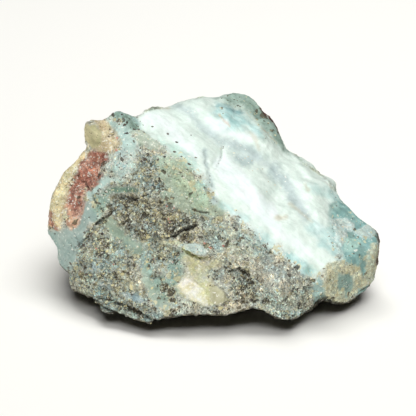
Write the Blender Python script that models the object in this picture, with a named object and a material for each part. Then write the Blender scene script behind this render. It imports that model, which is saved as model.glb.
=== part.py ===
"""Rough larimar: one broken stone with a thick pale vein on top and dark matrix in front.

The frame is +X to the right and +Y away from the viewer as the stone is seen, +Z up.
The origin is on the surface that the stone rests on, under the middle of its box.
Lengths are named values in millimetres, and MM turns them into Blender's metres.
"""

import math
from typing import NamedTuple

import bmesh
import bpy
from mathutils import Vector, noise

MM = 0.001
STONE_NAME = "stone"
STONE_COLOUR = (0.50, 0.63, 0.61, 1.0)
STONE_ROUGHNESS = 0.75

# The size of the faces that are shaped, and how many triangles are left before the base is cut.
GRAIN = 0.9
TRIANGLES = 9800

# The vector noise starts from this, so that each run gives the same stone.
NOISE_SEED = 4

# The stone is seen from this far and this high when its outline is fitted.
VIEW_ELEVATION = math.radians(30.0)
VIEW_DISTANCE = 276.0
VIEW_TARGET = Vector((-1.0, 0.0, 20.0))

# Corners of the broken block, which one convex hull joins.
CORNERS = {
    "crown_left": (-14.5, 14.0, 39.5),
    "crown_middle": (-3.0, 22.0, 39.0),
    "crown_right": (8.7, 24.0, 38.9),
    "rim_high": (15.7, 18.0, 33.8),
    "rim_middle": (24.4, 9.5, 27.1),
    "rim_low": (30.5, 6.5, 22.5),
    "right_tip_top": (38.1, -4.0, 16.6),
    "right_tip_front": (39.4, -8.0, 14.6),
    "right_tip_low": (39.0, -8.0, 7.0),
    "right_block_foot": (30.9, -17.4, 3.7),
    "right_block_shoulder": (26.5, -17.5, 14.0),
    "ridge_high": (-16.7, -2.0, 34.0),
    "ridge_upper": (-6.3, -5.0, 32.5),
    "ridge_middle": (0.6, -10.0, 26.6),
    "ridge_lower": (12.0, -16.5, 18.6),
    "ridge_end": (22.4, -19.5, 9.3),
    "belly_right": (17.7, -24.2, 2.8),
    "belly_middle": (-14.0, -25.0, 2.8),
    "belly_far_left": (-26.5, -20.0, 2.8),
    "belly_low_left": (-34.5, -9.5, 2.8),
    "foot_right": (16.0, -16.5, -1.5),
    "foot_left": (-14.0, -16.5, -1.5),
    "foot_far_left": (-23.0, -13.5, -1.5),
    "low_left": (-30.0, -6.5, -1.5),
    "belly_left": (-26.0, -18.5, 6.0),
    "left_low": (-36.9, -5.0, 6.5),
    "left_front": (-39.4, -3.0, 14.6),
    "left_upper": (-37.7, 0.0, 24.9),
    "left_shoulder": (-34.5, 2.0, 29.7),
    "knob_left": (-30.5, 8.0, 37.5),
    "knob_top": (-26.5, 8.0, 39.7),
    "lobe_top": (-21.7, 8.0, 41.0),
    "back_left_top": (-23.0, 17.0, 34.0),
    "back_left_middle": (-33.0, 14.0, 21.0),
    "back_left_low": (-29.0, 17.0, -1.5),
    "back_top": (1.0, 27.0, 32.0),
    "back_low": (-6.0, 26.0, -1.5),
    "back_right_middle": (23.0, 18.0, 18.0),
    "back_right_low": (21.0, 18.0, -1.5),
    "right_back_middle": (35.5, 4.0, 11.0),
    "right_back_low": (33.0, 3.0, -1.5),
    "right_foot_low": (31.0, -16.5, -1.5),
}

# The outline as seen, across and up from the view's middle, clockwise from the knob.
OUTLINE = {
    "knob": [(-29.1, 14.7), (-30.0, 16.8), (-29.8, 18.8), (-29.1, 21.0), (-26.4, 21.1), (-23.7, 21.8)],
    "lobe": [(-22.6, 23.2), (-21.2, 23.4), (-19.8, 23.0), (-18.4, 22.4), (-17.2, 21.9)],
    "crown": [(-16.0, 22.9), (-13.2, 24.2), (-10.0, 24.1), (-7.2, 25.3), (-4.3, 26.1), (-1.7, 26.6),
              (2.6, 26.5), (3.8, 27.1), (5.4, 27.5), (9.4, 27.2)],
    "far_rim": [(12.1, 24.8), (13.3, 23.4), (15.0, 21.7), (16.3, 20.2), (16.9, 18.4), (17.9, 16.0)],
    "near_rim": [(19.1, 14.0), (20.6, 13.2), (22.9, 11.9), (25.2, 10.5), (27.0, 8.3), (29.8, 7.1),
                 (30.8, 5.9), (30.7, 4.7), (31.4, 2.6), (33.9, 0.2), (35.8, -2.0), (37.9, -3.3)],
    "right_end": [(39.8, -4.6), (41.0, -7.0), (40.8, -10.4), (40.3, -14.9), (39.1, -17.4), (38.3, -19.5)],
    "right_foot": [(35.5, -21.6), (32.5, -23.5), (29.8, -23.0), (28.5, -22.2), (26.1, -23.2)],
    "middle_foot": [(24.6, -25.1), (22.1, -25.9), (19.1, -27.3), (17.2, -26.8), (15.4, -26.2), (13.3, -24.7)],
    "arch": [(11.5, -24.3), (9.7, -24.1), (7.2, -25.1), (3.3, -25.8), (-1.7, -25.5), (-5.0, -25.6)],
    "left_foot": [(-7.8, -26.4), (-11.1, -26.8), (-13.2, -27.5), (-16.8, -27.1), (-19.3, -26.0),
                  (-22.0, -25.1), (-24.5, -25.5), (-25.8, -24.4)],
    "lower_left": [(-27.8, -21.9), (-31.1, -20.5), (-32.8, -19.2), (-33.5, -15.2), (-35.6, -14.0)],
    "left_end": [(-36.0, -11.5), (-36.3, -9.1), (-37.7, -7.6), (-38.4, -6.3), (-38.4, -4.4), (-38.3, -2.3),
                 (-37.8, 1.0), (-36.8, 4.5), (-35.4, 7.3), (-33.8, 9.5), (-31.6, 11.4), (-30.3, 13.1)],
}

# The outline is fitted in this many directions. The pull starts at this share of the way out to the rim.
OUTLINE_ROUNDS = 2
OUTLINE_STEPS = 200
OUTLINE_REACH = 0.45
PARALLEL = 1e-9


class Swell(NamedTuple):
    """A lump, or a hollow where its height is negative."""

    centre: tuple
    radius: float
    height: float


class Seam(NamedTuple):
    """A ridge along a line, or a groove where its height is negative."""

    line: tuple
    half_width: float
    height: float


class Ledge(NamedTuple):
    """A step along a line: the ground on the high side stands up and falls away over the reach.

    The riser takes up this slope's width on each side of the line.
    """

    line: tuple
    high_side: tuple
    step: float
    reach: float
    slope: float = 0.9


class Chip(NamedTuple):
    """A flat where a flake broke off: nothing within reach stands above this plane."""

    centre: tuple
    facing: tuple
    reach: float


class Roughness(NamedTuple):
    """One size of natural roughness, and how high it stands in the vein and in the matrix."""

    size: float
    in_vein: float
    in_matrix: float


SWELLS = {
    "knob": Swell((-27.5, 6.5, 37.0), 4.2, 1.4),
    "knob_neck": Swell((-29.5, 3.0, 32.5), 3.6, -1.6),
    "lobe": Swell((-21.0, 5.5, 39.8), 3.4, 1.6),
    "lobe_saddle": Swell((-17.0, 6.5, 39.3), 3.0, -1.2),
    "pale_cheek": Swell((-24.5, -1.5, 31.0), 4.5, 0.9),
    "green_hollow": Swell((-21.0, -4.0, 28.0), 6.0, -2.4),
    "shoulder_pad": Swell((-19.0, 1.0, 34.0), 5.0, 0.9),
    "dark_plate": Swell((-14.0, -9.5, 23.5), 7.0, 1.8),
    "dark_plate_right": Swell((-6.5, -10.8, 23.5), 5.5, 1.2),
    "lower_left_lump": Swell((-22.5, -15.5, 11.0), 8.0, 1.9),
    "lower_left_brow": Swell((-27.0, -12.0, 14.5), 5.0, 1.2),
    "lower_left_toe": Swell((-17.0, -18.0, 4.0), 5.5, 1.5),
    "left_blue_face": Swell((-35.0, -7.0, 11.0), 6.0, -1.2),
    "left_cheek": Swell((-34.5, -4.0, 21.0), 6.0, 0.9),
    "pocket": Swell((0.5, -17.0, 12.5), 6.0, -3.0),
    "pocket_crystal": Swell((-3.0, -18.0, 7.0), 4.2, 2.0),
    "pocket_crystal_right": Swell((3.4, -18.2, 6.5), 3.8, 1.8),
    "dark_recess": Swell((8.2, -18.0, 9.5), 4.4, -2.6),
    "front_lump": Swell((16.0, -18.8, 10.5), 6.0, 2.6),
    "front_lump_toe": Swell((18.5, -18.4, 3.5), 4.5, 1.4),
    "ridge_pad": Swell((8.0, -15.5, 19.5), 5.5, 1.2),
    "vein_plateau": Swell((8.0, -3.0, 28.0), 9.0, 0.8),
    "vein_hollow": Swell((15.0, -4.0, 25.5), 5.0, -0.9),
    "rim_block": Swell((25.0, 1.5, 23.5), 6.0, 1.2),
    "right_hollow": Swell((31.0, -5.0, 18.5), 6.5, -1.1),
    "right_crust": Swell((29.5, -16.0, 10.0), 5.5, 0.8),
    "crown_blue": Swell((4.0, 13.0, 37.0), 7.0, 0.8),
    "far_slope": Swell((14.0, 13.5, 32.5), 4.5, -0.8),
    "back_bulge": Swell((-8.0, 25.5, 19.0), 10.0, 2.0),
    "back_hollow": Swell((11.0, 22.0, 19.0), 9.0, -2.2),
    "back_left_hollow": Swell((-26.0, 17.0, 20.0), 9.0, -2.0),
    "back_right_lump": Swell((27.0, 12.0, 13.0), 7.0, 1.6),
}

SEAMS = {
    "plate_top_crevice": Seam(((-23.0, -5.5, 25.6), (-19.0, -6.4, 26.4), (-13.0, -7.0, 27.5)), 1.1, -1.2),
    "plate_left_crevice": Seam(((-23.0, -5.5, 25.6), (-26.0, -8.5, 21.0)), 1.0, -0.9),
    "plate_foot_crevice": Seam(((-12.5, -12.6, 19.0), (-8.3, -12.7, 19.4), (-3.3, -12.4, 21.0)), 1.1, -1.5),
    "blue_seam": Seam(((-24.2, -9.3, 19.7), (-16.4, -12.9, 17.4), (-11.8, -16.2, 13.2), (-8.4, -18.9, 6.7)),
                      2.8, -0.8),
    "lump_cleft": Seam(((-25.5, -14.5, 13.0), (-20.5, -17.0, 9.5), (-15.5, -18.5, 8.0)), 1.2, -1.0),
    "small_ledge_crevice": Seam(((-6.0, -14.8, 16.6), (-3.0, -15.6, 15.8), (0.8, -16.2, 15.6)), 1.0, -1.5),
    "foot_notch": Seam(((22.9, -17.8, 14.0), (24.0, -18.2, 9.0), (25.2, -18.0, 4.0)), 2.0, -2.4),
    "lump_furrow": Seam(((11.0, -18.6, 12.5), (12.0, -18.8, 5.0)), 1.4, -1.1),
    "vein_crack": Seam(((2.1, 5.5, 33.8), (1.8, 1.7, 32.3), (-0.4, -1.9, 31.6), (-1.0, -5.0, 30.6),
                        (-0.3, -7.6, 28.9), (0.8, -10.5, 25.8)), 1.0, -0.5),
    "vein_valley": Seam(((-8.7, 14.5, 40.0), (-3.9, 11.2, 37.6), (-0.3, 8.2, 35.6), (3.3, 6.6, 33.8),
                         (8.5, 6.0, 31.7), (13.3, 3.6, 29.2), (16.8, 0.6, 26.7)), 4.5, -0.5),
    "left_edge": Seam(((-21.3, 1.7, 35.7), (-26.7, -1.7, 28.8), (-29.8, -6.5, 20.5), (-32.6, -8.7, 15.3)),
                      1.8, 0.9),
    "back_crack": Seam(((-20.0, 21.0, 30.0), (-12.0, 25.5, 20.0), (-3.0, 26.0, 8.0)), 1.3, -1.2),
    "back_furrow": Seam(((8.0, 25.0, 30.0), (17.0, 20.0, 20.0), (22.0, 16.5, 8.0)), 2.0, -1.4),
    "right_back_furrow": Seam(((28.0, 8.0, 22.0), (33.0, 7.0, 12.0), (31.0, 5.0, 4.0)), 1.5, -1.0),
}

LEDGES = {
    "vein_step": Ledge(((-6.0, 14.5, 38.8), (-1.5, 10.4, 36.4), (5.5, 8.2, 33.2), (12.0, 6.8, 30.6),
                        (17.5, 3.2, 27.4), (20.5, -0.6, 24.9), (23.5, -4.4, 22.0)), (0.6, 0.75, 0.0),
                        1.3, 10.0, 3.2),
    "crown_step": Ledge(((-15.5, 3.0, 36.5), (-9.5, 2.0, 35.8), (-3.5, 4.5, 35.0)),
                        (-0.2, 0.9, 0.3), 0.7, 6.0, 1.5),
    "plate_step": Ledge(((-25.0, -8.0, 22.0), (-18.0, -11.8, 19.2), (-11.0, -12.7, 19.3), (-4.0, -12.6, 21.0)),
                        (0.1, 0.3, 0.9), 1.3, 5.0),
    "small_ledge": Ledge(((-8.0, -14.0, 18.0), (-3.5, -15.0, 16.8), (0.6, -15.6, 16.6)),
                         (0.0, 0.2, 1.0), 1.8, 3.4),
    "pocket_lip": Ledge(((3.0, -15.0, 17.5), (7.0, -16.0, 15.5), (10.5, -17.2, 13.5)),
                        (0.2, 0.3, 0.9), 1.2, 4.0),
    "left_lump_step": Ledge(((-29.5, -10.5, 15.5), (-25.0, -12.2, 16.8), (-19.5, -14.0, 15.0)),
                            (0.2, -0.3, -0.9), 1.2, 5.0),
    "right_crust_step": Ledge(((25.5, -17.5, 13.0), (29.5, -13.5, 14.4), (35.5, -8.8, 15.2)),
                              (0.2, -0.4, -0.9), 0.8, 3.5),
    "rim_step": Ledge(((22.0, 6.0, 26.0), (27.0, 3.0, 23.0), (30.5, -1.5, 20.0)), (0.6, 0.7, 0.3), 1.0, 4.5),
    "back_step": Ledge(((-25.0, 17.0, 12.0), (-8.0, 26.0, 11.0), (12.0, 21.5, 13.0)),
                       (0.0, 0.0, -1.0), 1.8, 7.0),
}
LEDGE_FALL = 1.5

CHIPS = {
    "right_end_flat": Chip((38.2, -6.5, 11.0), (0.93, -0.30, 0.10), 9.0),
    "right_front_flat": Chip((31.5, -15.0, 9.0), (0.60, -0.78, 0.16), 9.0),
    "left_blue_flat": Chip((-35.5, -6.5, 11.0), (-0.72, -0.66, 0.10), 8.0),
    "far_rim_flat": Chip((14.5, 15.0, 32.5), (0.62, 0.30, 0.72), 8.0),
    "knob_flat": Chip((-29.0, 4.5, 36.0), (-0.55, -0.72, 0.42), 4.5),
    "lower_left_flat": Chip((-24.5, -16.5, 9.0), (-0.38, -0.90, 0.20), 6.0),
    "back_flat": Chip((2.0, 24.8, 20.0), (0.10, 0.99, 0.10), 10.0),
    "back_left_flat": Chip((-27.5, 15.0, 24.0), (-0.62, 0.74, 0.25), 9.0),
}
CHIP_CORE = 0.6

# The pale vein lies above this plane, and the rougher matrix below it.
VEIN_POINT = Vector((0.6, -10.0, 26.0))
VEIN_FACING = Vector((0.5, -0.15, 0.85)).normalized()
VEIN_BLEND = 4.0

# Broken flats, each with its own lean, and rounder lumps between them.
FLATS = Roughness(8.0, 0.42, 1.2)
SMALL_FLATS = Roughness(3.4, 0.14, 0.62)
LUMPS = Roughness(5.0, 0.22, 0.62)
FLAT_WARP = Roughness(7.0, 1.5, 1.5)
FLAT_SEED = 7.3
LUMP_DECAY, LUMP_STEP, LUMP_OCTAVES = 0.9, 2.1, 3

# Seams and ledges wander by this much, over this distance, as broken edges do.
WANDER = 1.3
WANDER_SIZE = 6.0

# Below this height the stone draws in by this much, more in some places than in others.
FOOT_HEIGHT = 3.0
FOOT_DRAW = 3.0
FOOT_WAVE = 9.0
FOOT_MIDDLE = Vector((-1.0, 3.0, 0.0))


def smooth(low, high, value):
    """0 at low, 1 at high, and an S-curve between."""
    share = min(1.0, max(0.0, (value - low) / (high - low)))
    return share * share * (3.0 - 2.0 * share)


def nearest_on(line, point):
    """The point of a polyline that is nearest to this one."""
    best = None
    for start, end in zip(line, line[1:]):
        start, end = Vector(start), Vector(end)
        along = end - start
        share = min(1.0, max(0.0, (point - start).dot(along) / along.length_squared))
        found = start + along * share
        if best is None or (found - point).length_squared < (best - point).length_squared:
            best = found
    return best


def hull_of(corners):
    """The convex hull of these corners, in metres, as a mesh."""
    shape = bmesh.new()
    for corner in corners:
        shape.verts.new(Vector(corner) * MM)
    made = bmesh.ops.convex_hull(shape, input=shape.verts)
    inner = [item for item in made["geom_interior"] if isinstance(item, bmesh.types.BMVert)]
    bmesh.ops.delete(shape, geom=inner, context="VERTS")
    bmesh.ops.recalc_face_normals(shape, faces=shape.faces)
    mesh = bpy.data.meshes.new(STONE_NAME)
    shape.to_mesh(mesh)
    shape.free()
    return mesh


def apply_modifiers(obj):
    """Puts what the modifiers make into the object's own mesh, and removes them."""
    graph = bpy.context.evaluated_depsgraph_get()
    made = bpy.data.meshes.new_from_object(obj.evaluated_get(graph), depsgraph=graph)
    obj.modifiers.clear()
    old = obj.data
    obj.data = made
    bpy.data.meshes.remove(old)
    made.name = obj.name


def remesh(obj, size):
    """Covers the object evenly with small faces of this size."""
    modifier = obj.modifiers.new("even faces", "REMESH")
    modifier.mode = "VOXEL"
    modifier.voxel_size = size * MM
    apply_modifiers(obj)


def vein_share(point):
    """1 in the pale vein, 0 in the matrix."""
    return smooth(-VEIN_BLEND, VEIN_BLEND, (point - VEIN_POINT).dot(VEIN_FACING))


def feature_height(point):
    """How far the named lumps, seams and ledges lift the surface at this point."""
    height = 0.0
    point = point + noise.noise_vector(point / WANDER_SIZE) * WANDER
    for swell in SWELLS.values():
        away = (point - Vector(swell.centre)).length / swell.radius
        height += swell.height * smooth(1.0, 0.0, away)
    for seam in SEAMS.values():
        away = (point - nearest_on(seam.line, point)).length / seam.half_width
        height += seam.height * smooth(1.0, 0.0, away)
    for ledge in LEDGES.values():
        offset = point - nearest_on(ledge.line, point)
        if offset.length < ledge.reach:
            side = offset.dot(Vector(ledge.high_side).normalized())
            fade = (1.0 - offset.length / ledge.reach) ** LEDGE_FALL
            height += ledge.step * smooth(-ledge.slope, ledge.slope, side) * fade
    return height


def height_of(roughness, vein):
    """How high this roughness stands where the surface has this much vein in it."""
    return roughness.in_matrix + (roughness.in_vein - roughness.in_matrix) * vein


def flats_height(point, size):
    """The height of a surface broken into flats of this size, each with its own lean and level."""
    centre = noise.voronoi(point / size)[1][0]
    lean = noise.noise_vector(centre * FLAT_SEED)
    return (point / size - centre).dot(lean) + lean.x / 2.0


def rough_height(point):
    """The natural roughness, which is coarser in the matrix than in the vein."""
    vein = vein_share(point)
    warped = point + noise.noise_vector(point / FLAT_WARP.size) * height_of(FLAT_WARP, vein)
    flats = flats_height(warped, FLATS.size) * height_of(FLATS, vein)
    small_flats = flats_height(warped, SMALL_FLATS.size) * height_of(SMALL_FLATS, vein)
    lumps = noise.fractal(point / LUMPS.size, LUMP_DECAY, LUMP_STEP, LUMP_OCTAVES) * height_of(LUMPS, vein)
    return flats + small_flats + lumps


def chipped(point):
    """Where this point lies once the chips are off."""
    for chip in CHIPS.values():
        facing = Vector(chip.facing).normalized()
        offset = point - Vector(chip.centre)
        above = offset.dot(facing)
        if above > 0.0:
            point = point - facing * above * smooth(chip.reach, CHIP_CORE * chip.reach, offset.length)
    return point


def drawn_in(point):
    """Where this point lies once the foot of the stone is drawn in."""
    outward = Vector((point.x, point.y, 0.0)) - FOOT_MIDDLE
    draw = FOOT_DRAW * (1.0 + noise.noise(point / FOOT_WAVE))
    return point - outward.normalized() * draw * smooth(FOOT_HEIGHT, 0.0, point.z)


def carve(obj):
    """Moves each point by the named features and the roughness, then takes off the chips and the foot."""
    mesh = obj.data
    carved = []
    for vertex in mesh.vertices:
        point = vertex.co / MM
        lifted = point + vertex.normal * (feature_height(point) + rough_height(point))
        carved.append(drawn_in(chipped(lifted)) * MM)
    for vertex, place in zip(mesh.vertices, carved):
        vertex.co = place
    mesh.update()


class Station:
    """The eye that the outline is fitted from, and the flat picture that it sees."""

    def __init__(self):
        self.across = Vector((1.0, 0.0, 0.0))
        self.up = Vector((0.0, math.sin(VIEW_ELEVATION), math.cos(VIEW_ELEVATION)))
        self.ahead = Vector((0.0, math.cos(VIEW_ELEVATION), -math.sin(VIEW_ELEVATION)))
        self.eye = VIEW_TARGET - self.ahead * VIEW_DISTANCE

    def picture_of(self, point):
        """Across and up in the picture, and how far ahead the point is."""
        offset = point - self.eye
        depth = offset.dot(self.ahead)
        scale = VIEW_DISTANCE / depth
        return offset.dot(self.across) * scale, offset.dot(self.up) * scale, depth

    def point_at(self, right, up, depth):
        """The point that this place in the picture shows at that depth."""
        scale = depth / VIEW_DISTANCE
        return self.eye + self.across * right * scale + self.up * up * scale + self.ahead * depth


def outline_radius(direction):
    """How far the outline lies from the middle of the picture in this direction."""
    corners = [corner for stretch in OUTLINE.values() for corner in stretch]
    aim_x, aim_y = math.cos(direction), math.sin(direction)
    found = 0.0
    for (x0, y0), (x1, y1) in zip(corners, corners[1:] + corners[:1]):
        run_x, run_y = x1 - x0, y1 - y0
        cross = aim_x * run_y - aim_y * run_x
        if abs(cross) < PARALLEL:
            continue
        reach = (x0 * run_y - y0 * run_x) / cross
        share = (x0 * aim_y - y0 * aim_x) / cross
        if reach > 0.0 and 0.0 <= share <= 1.0:
            found = max(found, reach)
    return found


def evened(ring):
    """A closed ring of values, each one evened out with its two neighbours."""
    return [(ring[i - 1] + 2.0 * ring[i] + ring[(i + 1) % len(ring)]) / 4.0 for i in range(len(ring))]


def fit_outline(obj):
    """Pulls the stone in or out round its rim, so that it is seen with the outline above."""
    station = Station()
    mesh = obj.data
    seen = [station.picture_of(vertex.co / MM) for vertex in mesh.vertices]
    step = 2.0 * math.pi / OUTLINE_STEPS
    now = [0.0] * OUTLINE_STEPS
    for vertex, (right, up, _) in zip(mesh.vertices, seen):
        if vertex.co.z > 0.0:
            place = round(math.atan2(up, right) / step) % OUTLINE_STEPS
            now[place] = max(now[place], math.hypot(right, up))
    change = evened([outline_radius(place * step) / now[place] for place in range(OUTLINE_STEPS)])
    for vertex, (right, up, depth) in zip(mesh.vertices, seen):
        turn = math.atan2(up, right) / step
        low = math.floor(turn) % OUTLINE_STEPS
        high = (low + 1) % OUTLINE_STEPS
        share = turn % 1.0
        rim = now[low] * (1.0 - share) + now[high] * share
        goal = change[low] * (1.0 - share) + change[high] * share
        pull = smooth(OUTLINE_REACH, 1.0, math.hypot(right, up) / rim)
        scale = 1.0 + (goal - 1.0) * pull
        vertex.co = station.point_at(right * scale, up * scale, depth) * MM
    mesh.update()


def thin_out(obj, triangles):
    """Merges the smallest faces until this many triangles are left."""
    obj.data.calc_loop_triangles()
    modifier = obj.modifiers.new("fewer faces", "DECIMATE")
    modifier.ratio = triangles / len(obj.data.loop_triangles)
    modifier.use_collapse_triangulate = True
    apply_modifiers(obj)


def crumbs_of(shape):
    """The vertices of every loose bit of the mesh, apart from the largest."""
    left = set(shape.verts)
    bits = []
    while left:
        bit = [left.pop()]
        for vertex in bit:
            joined = {edge.other_vert(vertex) for edge in vertex.link_edges} & left
            bit.extend(joined)
            left -= joined
        bits.append(bit)
    bits.sort(key=len)
    return [vertex for bit in bits[:-1] for vertex in bit]


def cut_base(obj):
    """Cuts the stone off flat where it rests, drops the crumbs, and closes the cut."""
    shape = bmesh.new()
    shape.from_mesh(obj.data)
    everything = shape.verts[:] + shape.edges[:] + shape.faces[:]
    down = (0.0, 0.0, -1.0)
    cut = bmesh.ops.bisect_plane(shape, geom=everything, plane_co=(0, 0, 0), plane_no=down, clear_outer=True)
    cut_edges = [item for item in cut["geom_cut"] if isinstance(item, bmesh.types.BMEdge)]
    bmesh.ops.delete(shape, geom=crumbs_of(shape), context="VERTS")
    bmesh.ops.holes_fill(shape, edges=[edge for edge in cut_edges if edge.is_valid])
    bmesh.ops.triangulate(shape, faces=shape.faces)
    bmesh.ops.recalc_face_normals(shape, faces=shape.faces)
    shape.to_mesh(obj.data)
    shape.free()


def centre_on_origin(obj):
    """Moves the stone sideways until the middle of its box is over the origin."""
    places = [vertex.co for vertex in obj.data.vertices]
    middle_x = (min(place.x for place in places) + max(place.x for place in places)) / 2.0
    middle_y = (min(place.y for place in places) + max(place.y for place in places)) / 2.0
    for vertex in obj.data.vertices:
        vertex.co -= Vector((middle_x, middle_y, 0.0))
    obj.data.update()


def stone_finish():
    """The mean colour of the larimar and its matrix, with a dull broken surface."""
    finish = bpy.data.materials.new("rough larimar")
    finish.use_nodes = True
    shader = finish.node_tree.nodes["Principled BSDF"]
    shader.inputs["Base Color"].default_value = STONE_COLOUR
    shader.inputs["Roughness"].default_value = STONE_ROUGHNESS
    shader.inputs["Metallic"].default_value = 0.0
    return finish


def main():
    """Clears the scene and builds the stone."""
    for old in list(bpy.data.objects):
        bpy.data.objects.remove(old)
    noise.seed_set(NOISE_SEED)
    stone = bpy.data.objects.new(STONE_NAME, hull_of(CORNERS.values()))
    bpy.context.scene.collection.objects.link(stone)
    remesh(stone, GRAIN)
    carve(stone)
    for _ in range(OUTLINE_ROUNDS):
        fit_outline(stone)
    thin_out(stone, TRIANGLES)
    cut_base(stone)
    centre_on_origin(stone)
    stone.data.materials.append(stone_finish())
    return stone


if __name__ == "__main__":
    main()
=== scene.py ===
"""Rough larimar: the looks of the stone, a pale floor, soft studio light and the camera.

Lengths are in millimetres unless a name says otherwise, and MM turns them into metres.
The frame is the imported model's own: +X to the right, +Y away from the viewer, +Z up.
A spot is given as (across, down) in the 416 by 416 picture that the camera takes.
"""

import logging
import math
from dataclasses import dataclass, fields
from enum import Enum
from typing import Optional, Sequence

import bpy
import numpy as np
from bpy.types import Material, Mesh, Node, NodeSocket, NodeTree, Object, bpy_prop_collection
from mathutils import Matrix, Quaternion, Vector, noise


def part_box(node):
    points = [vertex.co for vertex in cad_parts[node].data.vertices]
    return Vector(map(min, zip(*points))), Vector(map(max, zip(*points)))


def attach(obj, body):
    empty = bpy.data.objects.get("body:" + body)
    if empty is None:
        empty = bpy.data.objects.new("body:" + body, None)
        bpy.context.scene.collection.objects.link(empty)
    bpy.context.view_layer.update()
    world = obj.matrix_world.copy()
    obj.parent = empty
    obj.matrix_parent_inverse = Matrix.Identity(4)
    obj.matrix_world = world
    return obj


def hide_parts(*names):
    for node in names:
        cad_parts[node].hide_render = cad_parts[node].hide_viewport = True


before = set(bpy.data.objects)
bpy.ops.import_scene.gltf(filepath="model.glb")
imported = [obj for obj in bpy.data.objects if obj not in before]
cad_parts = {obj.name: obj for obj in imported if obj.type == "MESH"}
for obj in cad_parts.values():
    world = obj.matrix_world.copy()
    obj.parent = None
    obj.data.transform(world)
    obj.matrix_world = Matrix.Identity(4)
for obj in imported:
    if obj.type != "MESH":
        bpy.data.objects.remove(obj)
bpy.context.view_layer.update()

LOG = logging.getLogger("larimar")
MM = 0.001
PICTURE = 416.0
NOISE_SEED = 4

Place = tuple[float, float, float]
Spot = tuple[float, float]
Rgb = tuple[int, int, int]


def smooth(low: float, high: float, value: np.ndarray) -> np.ndarray:
    """An S-curve between two bounds.

    Args:
        low: Where the curve is 0.
        high: Where the curve is 1. It may be the smaller of the two.
        value: The numbers to look up.

    Returns:
        The curve's height for each number.
    """
    share = np.clip((value - low) / (high - low), 0.0, 1.0)
    return share * share * (3.0 - 2.0 * share)


def linear(colour: Rgb) -> Place:
    """Turns a colour as a screen shows it into the light that it gives back, by the sRGB curve.

    Args:
        colour: Red, green and blue, 0 to 255.

    Returns:
        Red, green and blue, 0 to 1.
    """
    shares = [part / 255.0 for part in colour]
    return tuple(part / 12.92 if part <= 0.04045 else ((part + 0.055) / 1.055) ** 2.4 for part in shares)


def opaque(colour: Rgb) -> tuple[float, float, float, float]:
    """A socket's value for a colour as a screen shows it."""
    return (*linear(colour), 1.0)


def only(thing: Object) -> None:
    """Selects one object alone and makes it active.

    Args:
        thing: The object.
    """
    bpy.ops.object.select_all(action="DESELECT")
    thing.select_set(True)
    bpy.context.view_layer.objects.active = thing


def rename(name: str) -> Object:
    """Names the object that an operator has just added, and its data.

    Args:
        name: The name that both get.

    Returns:
        The object.
    """
    thing = bpy.context.active_object
    thing.name = name
    thing.data.name = name
    return thing


@dataclass(frozen=True)
class Viewpoint:
    """Where the stone is seen from, and the flat picture that is seen. near and far are in metres."""

    aim: Place = (-1.127, -1.512, 20.0)
    distance: float = 275.8
    elevation: float = 30.0
    lens: float = 100.0
    sensor: float = 36.0
    near: float = 0.01
    far: float = 10.0

    def back(self) -> Vector:
        """The direction from the stone to the eye."""
        lift = math.radians(self.elevation)
        return Vector((0.0, -math.cos(lift), math.sin(lift)))

    def up(self) -> Place:
        """The direction that is up in the picture."""
        lift = math.radians(self.elevation)
        return 0.0, math.sin(lift), math.cos(lift)

    def eye(self) -> Vector:
        """Where the eye is."""
        return Vector(self.aim) + self.back() * self.distance

    def spots_of(self, points: np.ndarray) -> np.ndarray:
        """Finds where points are seen.

        Args:
            points: Places in millimetres, one to a row.

        Returns:
            Spots in the picture, one to a row.
        """
        offset = points - np.array(self.eye())
        scale = PICTURE * self.lens / self.sensor / (offset @ -np.array(self.back()))
        across = PICTURE / 2.0 + offset[:, 0] * scale
        down = PICTURE / 2.0 - (offset @ np.array(self.up())) * scale
        return np.stack((across, down), axis=1)

    def ray(self, spot: Spot) -> Vector:
        """The direction in which the eye sees a spot of the picture.

        Args:
            spot: The spot.

        Returns:
            The direction, with a length of 1.
        """
        step = self.sensor / self.lens / PICTURE
        aside = Vector(((spot[0] - PICTURE / 2.0) * step, 0.0, 0.0))
        upward = Vector(self.up()) * ((PICTURE / 2.0 - spot[1]) * step)
        return (aside + upward - self.back()).normalized()

    def make(self) -> None:
        """Adds the camera and makes it the scene's own."""
        turn = (math.radians(90.0 - self.elevation), 0.0, 0.0)
        bpy.ops.object.camera_add(location=self.eye() * MM, rotation=turn)
        camera = rename("picture_camera")
        camera.data.lens = self.lens
        camera.data.sensor_width = self.sensor
        camera.data.clip_start = self.near
        camera.data.clip_end = self.far
        bpy.context.scene.camera = camera


class Target(Enum):
    """What a light falls on."""

    ALL = "everything"
    STONE = "the stone alone"
    FLOOR = "the floor alone"


@dataclass(frozen=True)
class Softbox:
    """One soft rectangular light, aimed at the stone from a distance. A bearing of 90 is on the right."""

    name: str
    bearing: float
    elevation: float
    width: float
    height: float
    power: float
    distance: float = 900.0
    target: Target = Target.ALL

    def make(self, lit: Sequence[Object]) -> None:
        """Adds the light.

        Args:
            lit: The objects that it falls on, where that isn't everything.
        """
        turn, lift = math.radians(self.bearing), math.radians(self.elevation)
        out = Vector((math.sin(turn) * math.cos(lift), -math.cos(turn) * math.cos(lift), math.sin(lift)))
        facing = out.to_track_quat("Z", "Y").to_euler()
        bpy.ops.object.light_add(type="AREA", location=out * self.distance * MM, rotation=facing)
        lamp = rename(self.name)
        lamp.data.shape = "RECTANGLE"
        lamp.data.size = self.width * MM
        lamp.data.size_y = self.height * MM
        lamp.data.energy = self.power
        if self.target is not Target.ALL:
            receivers = bpy.data.collections.new(f"lit by {self.name}")
            for thing in lit:
                receivers.objects.link(thing)
            lamp.light_linking.receiver_collection = receivers


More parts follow.
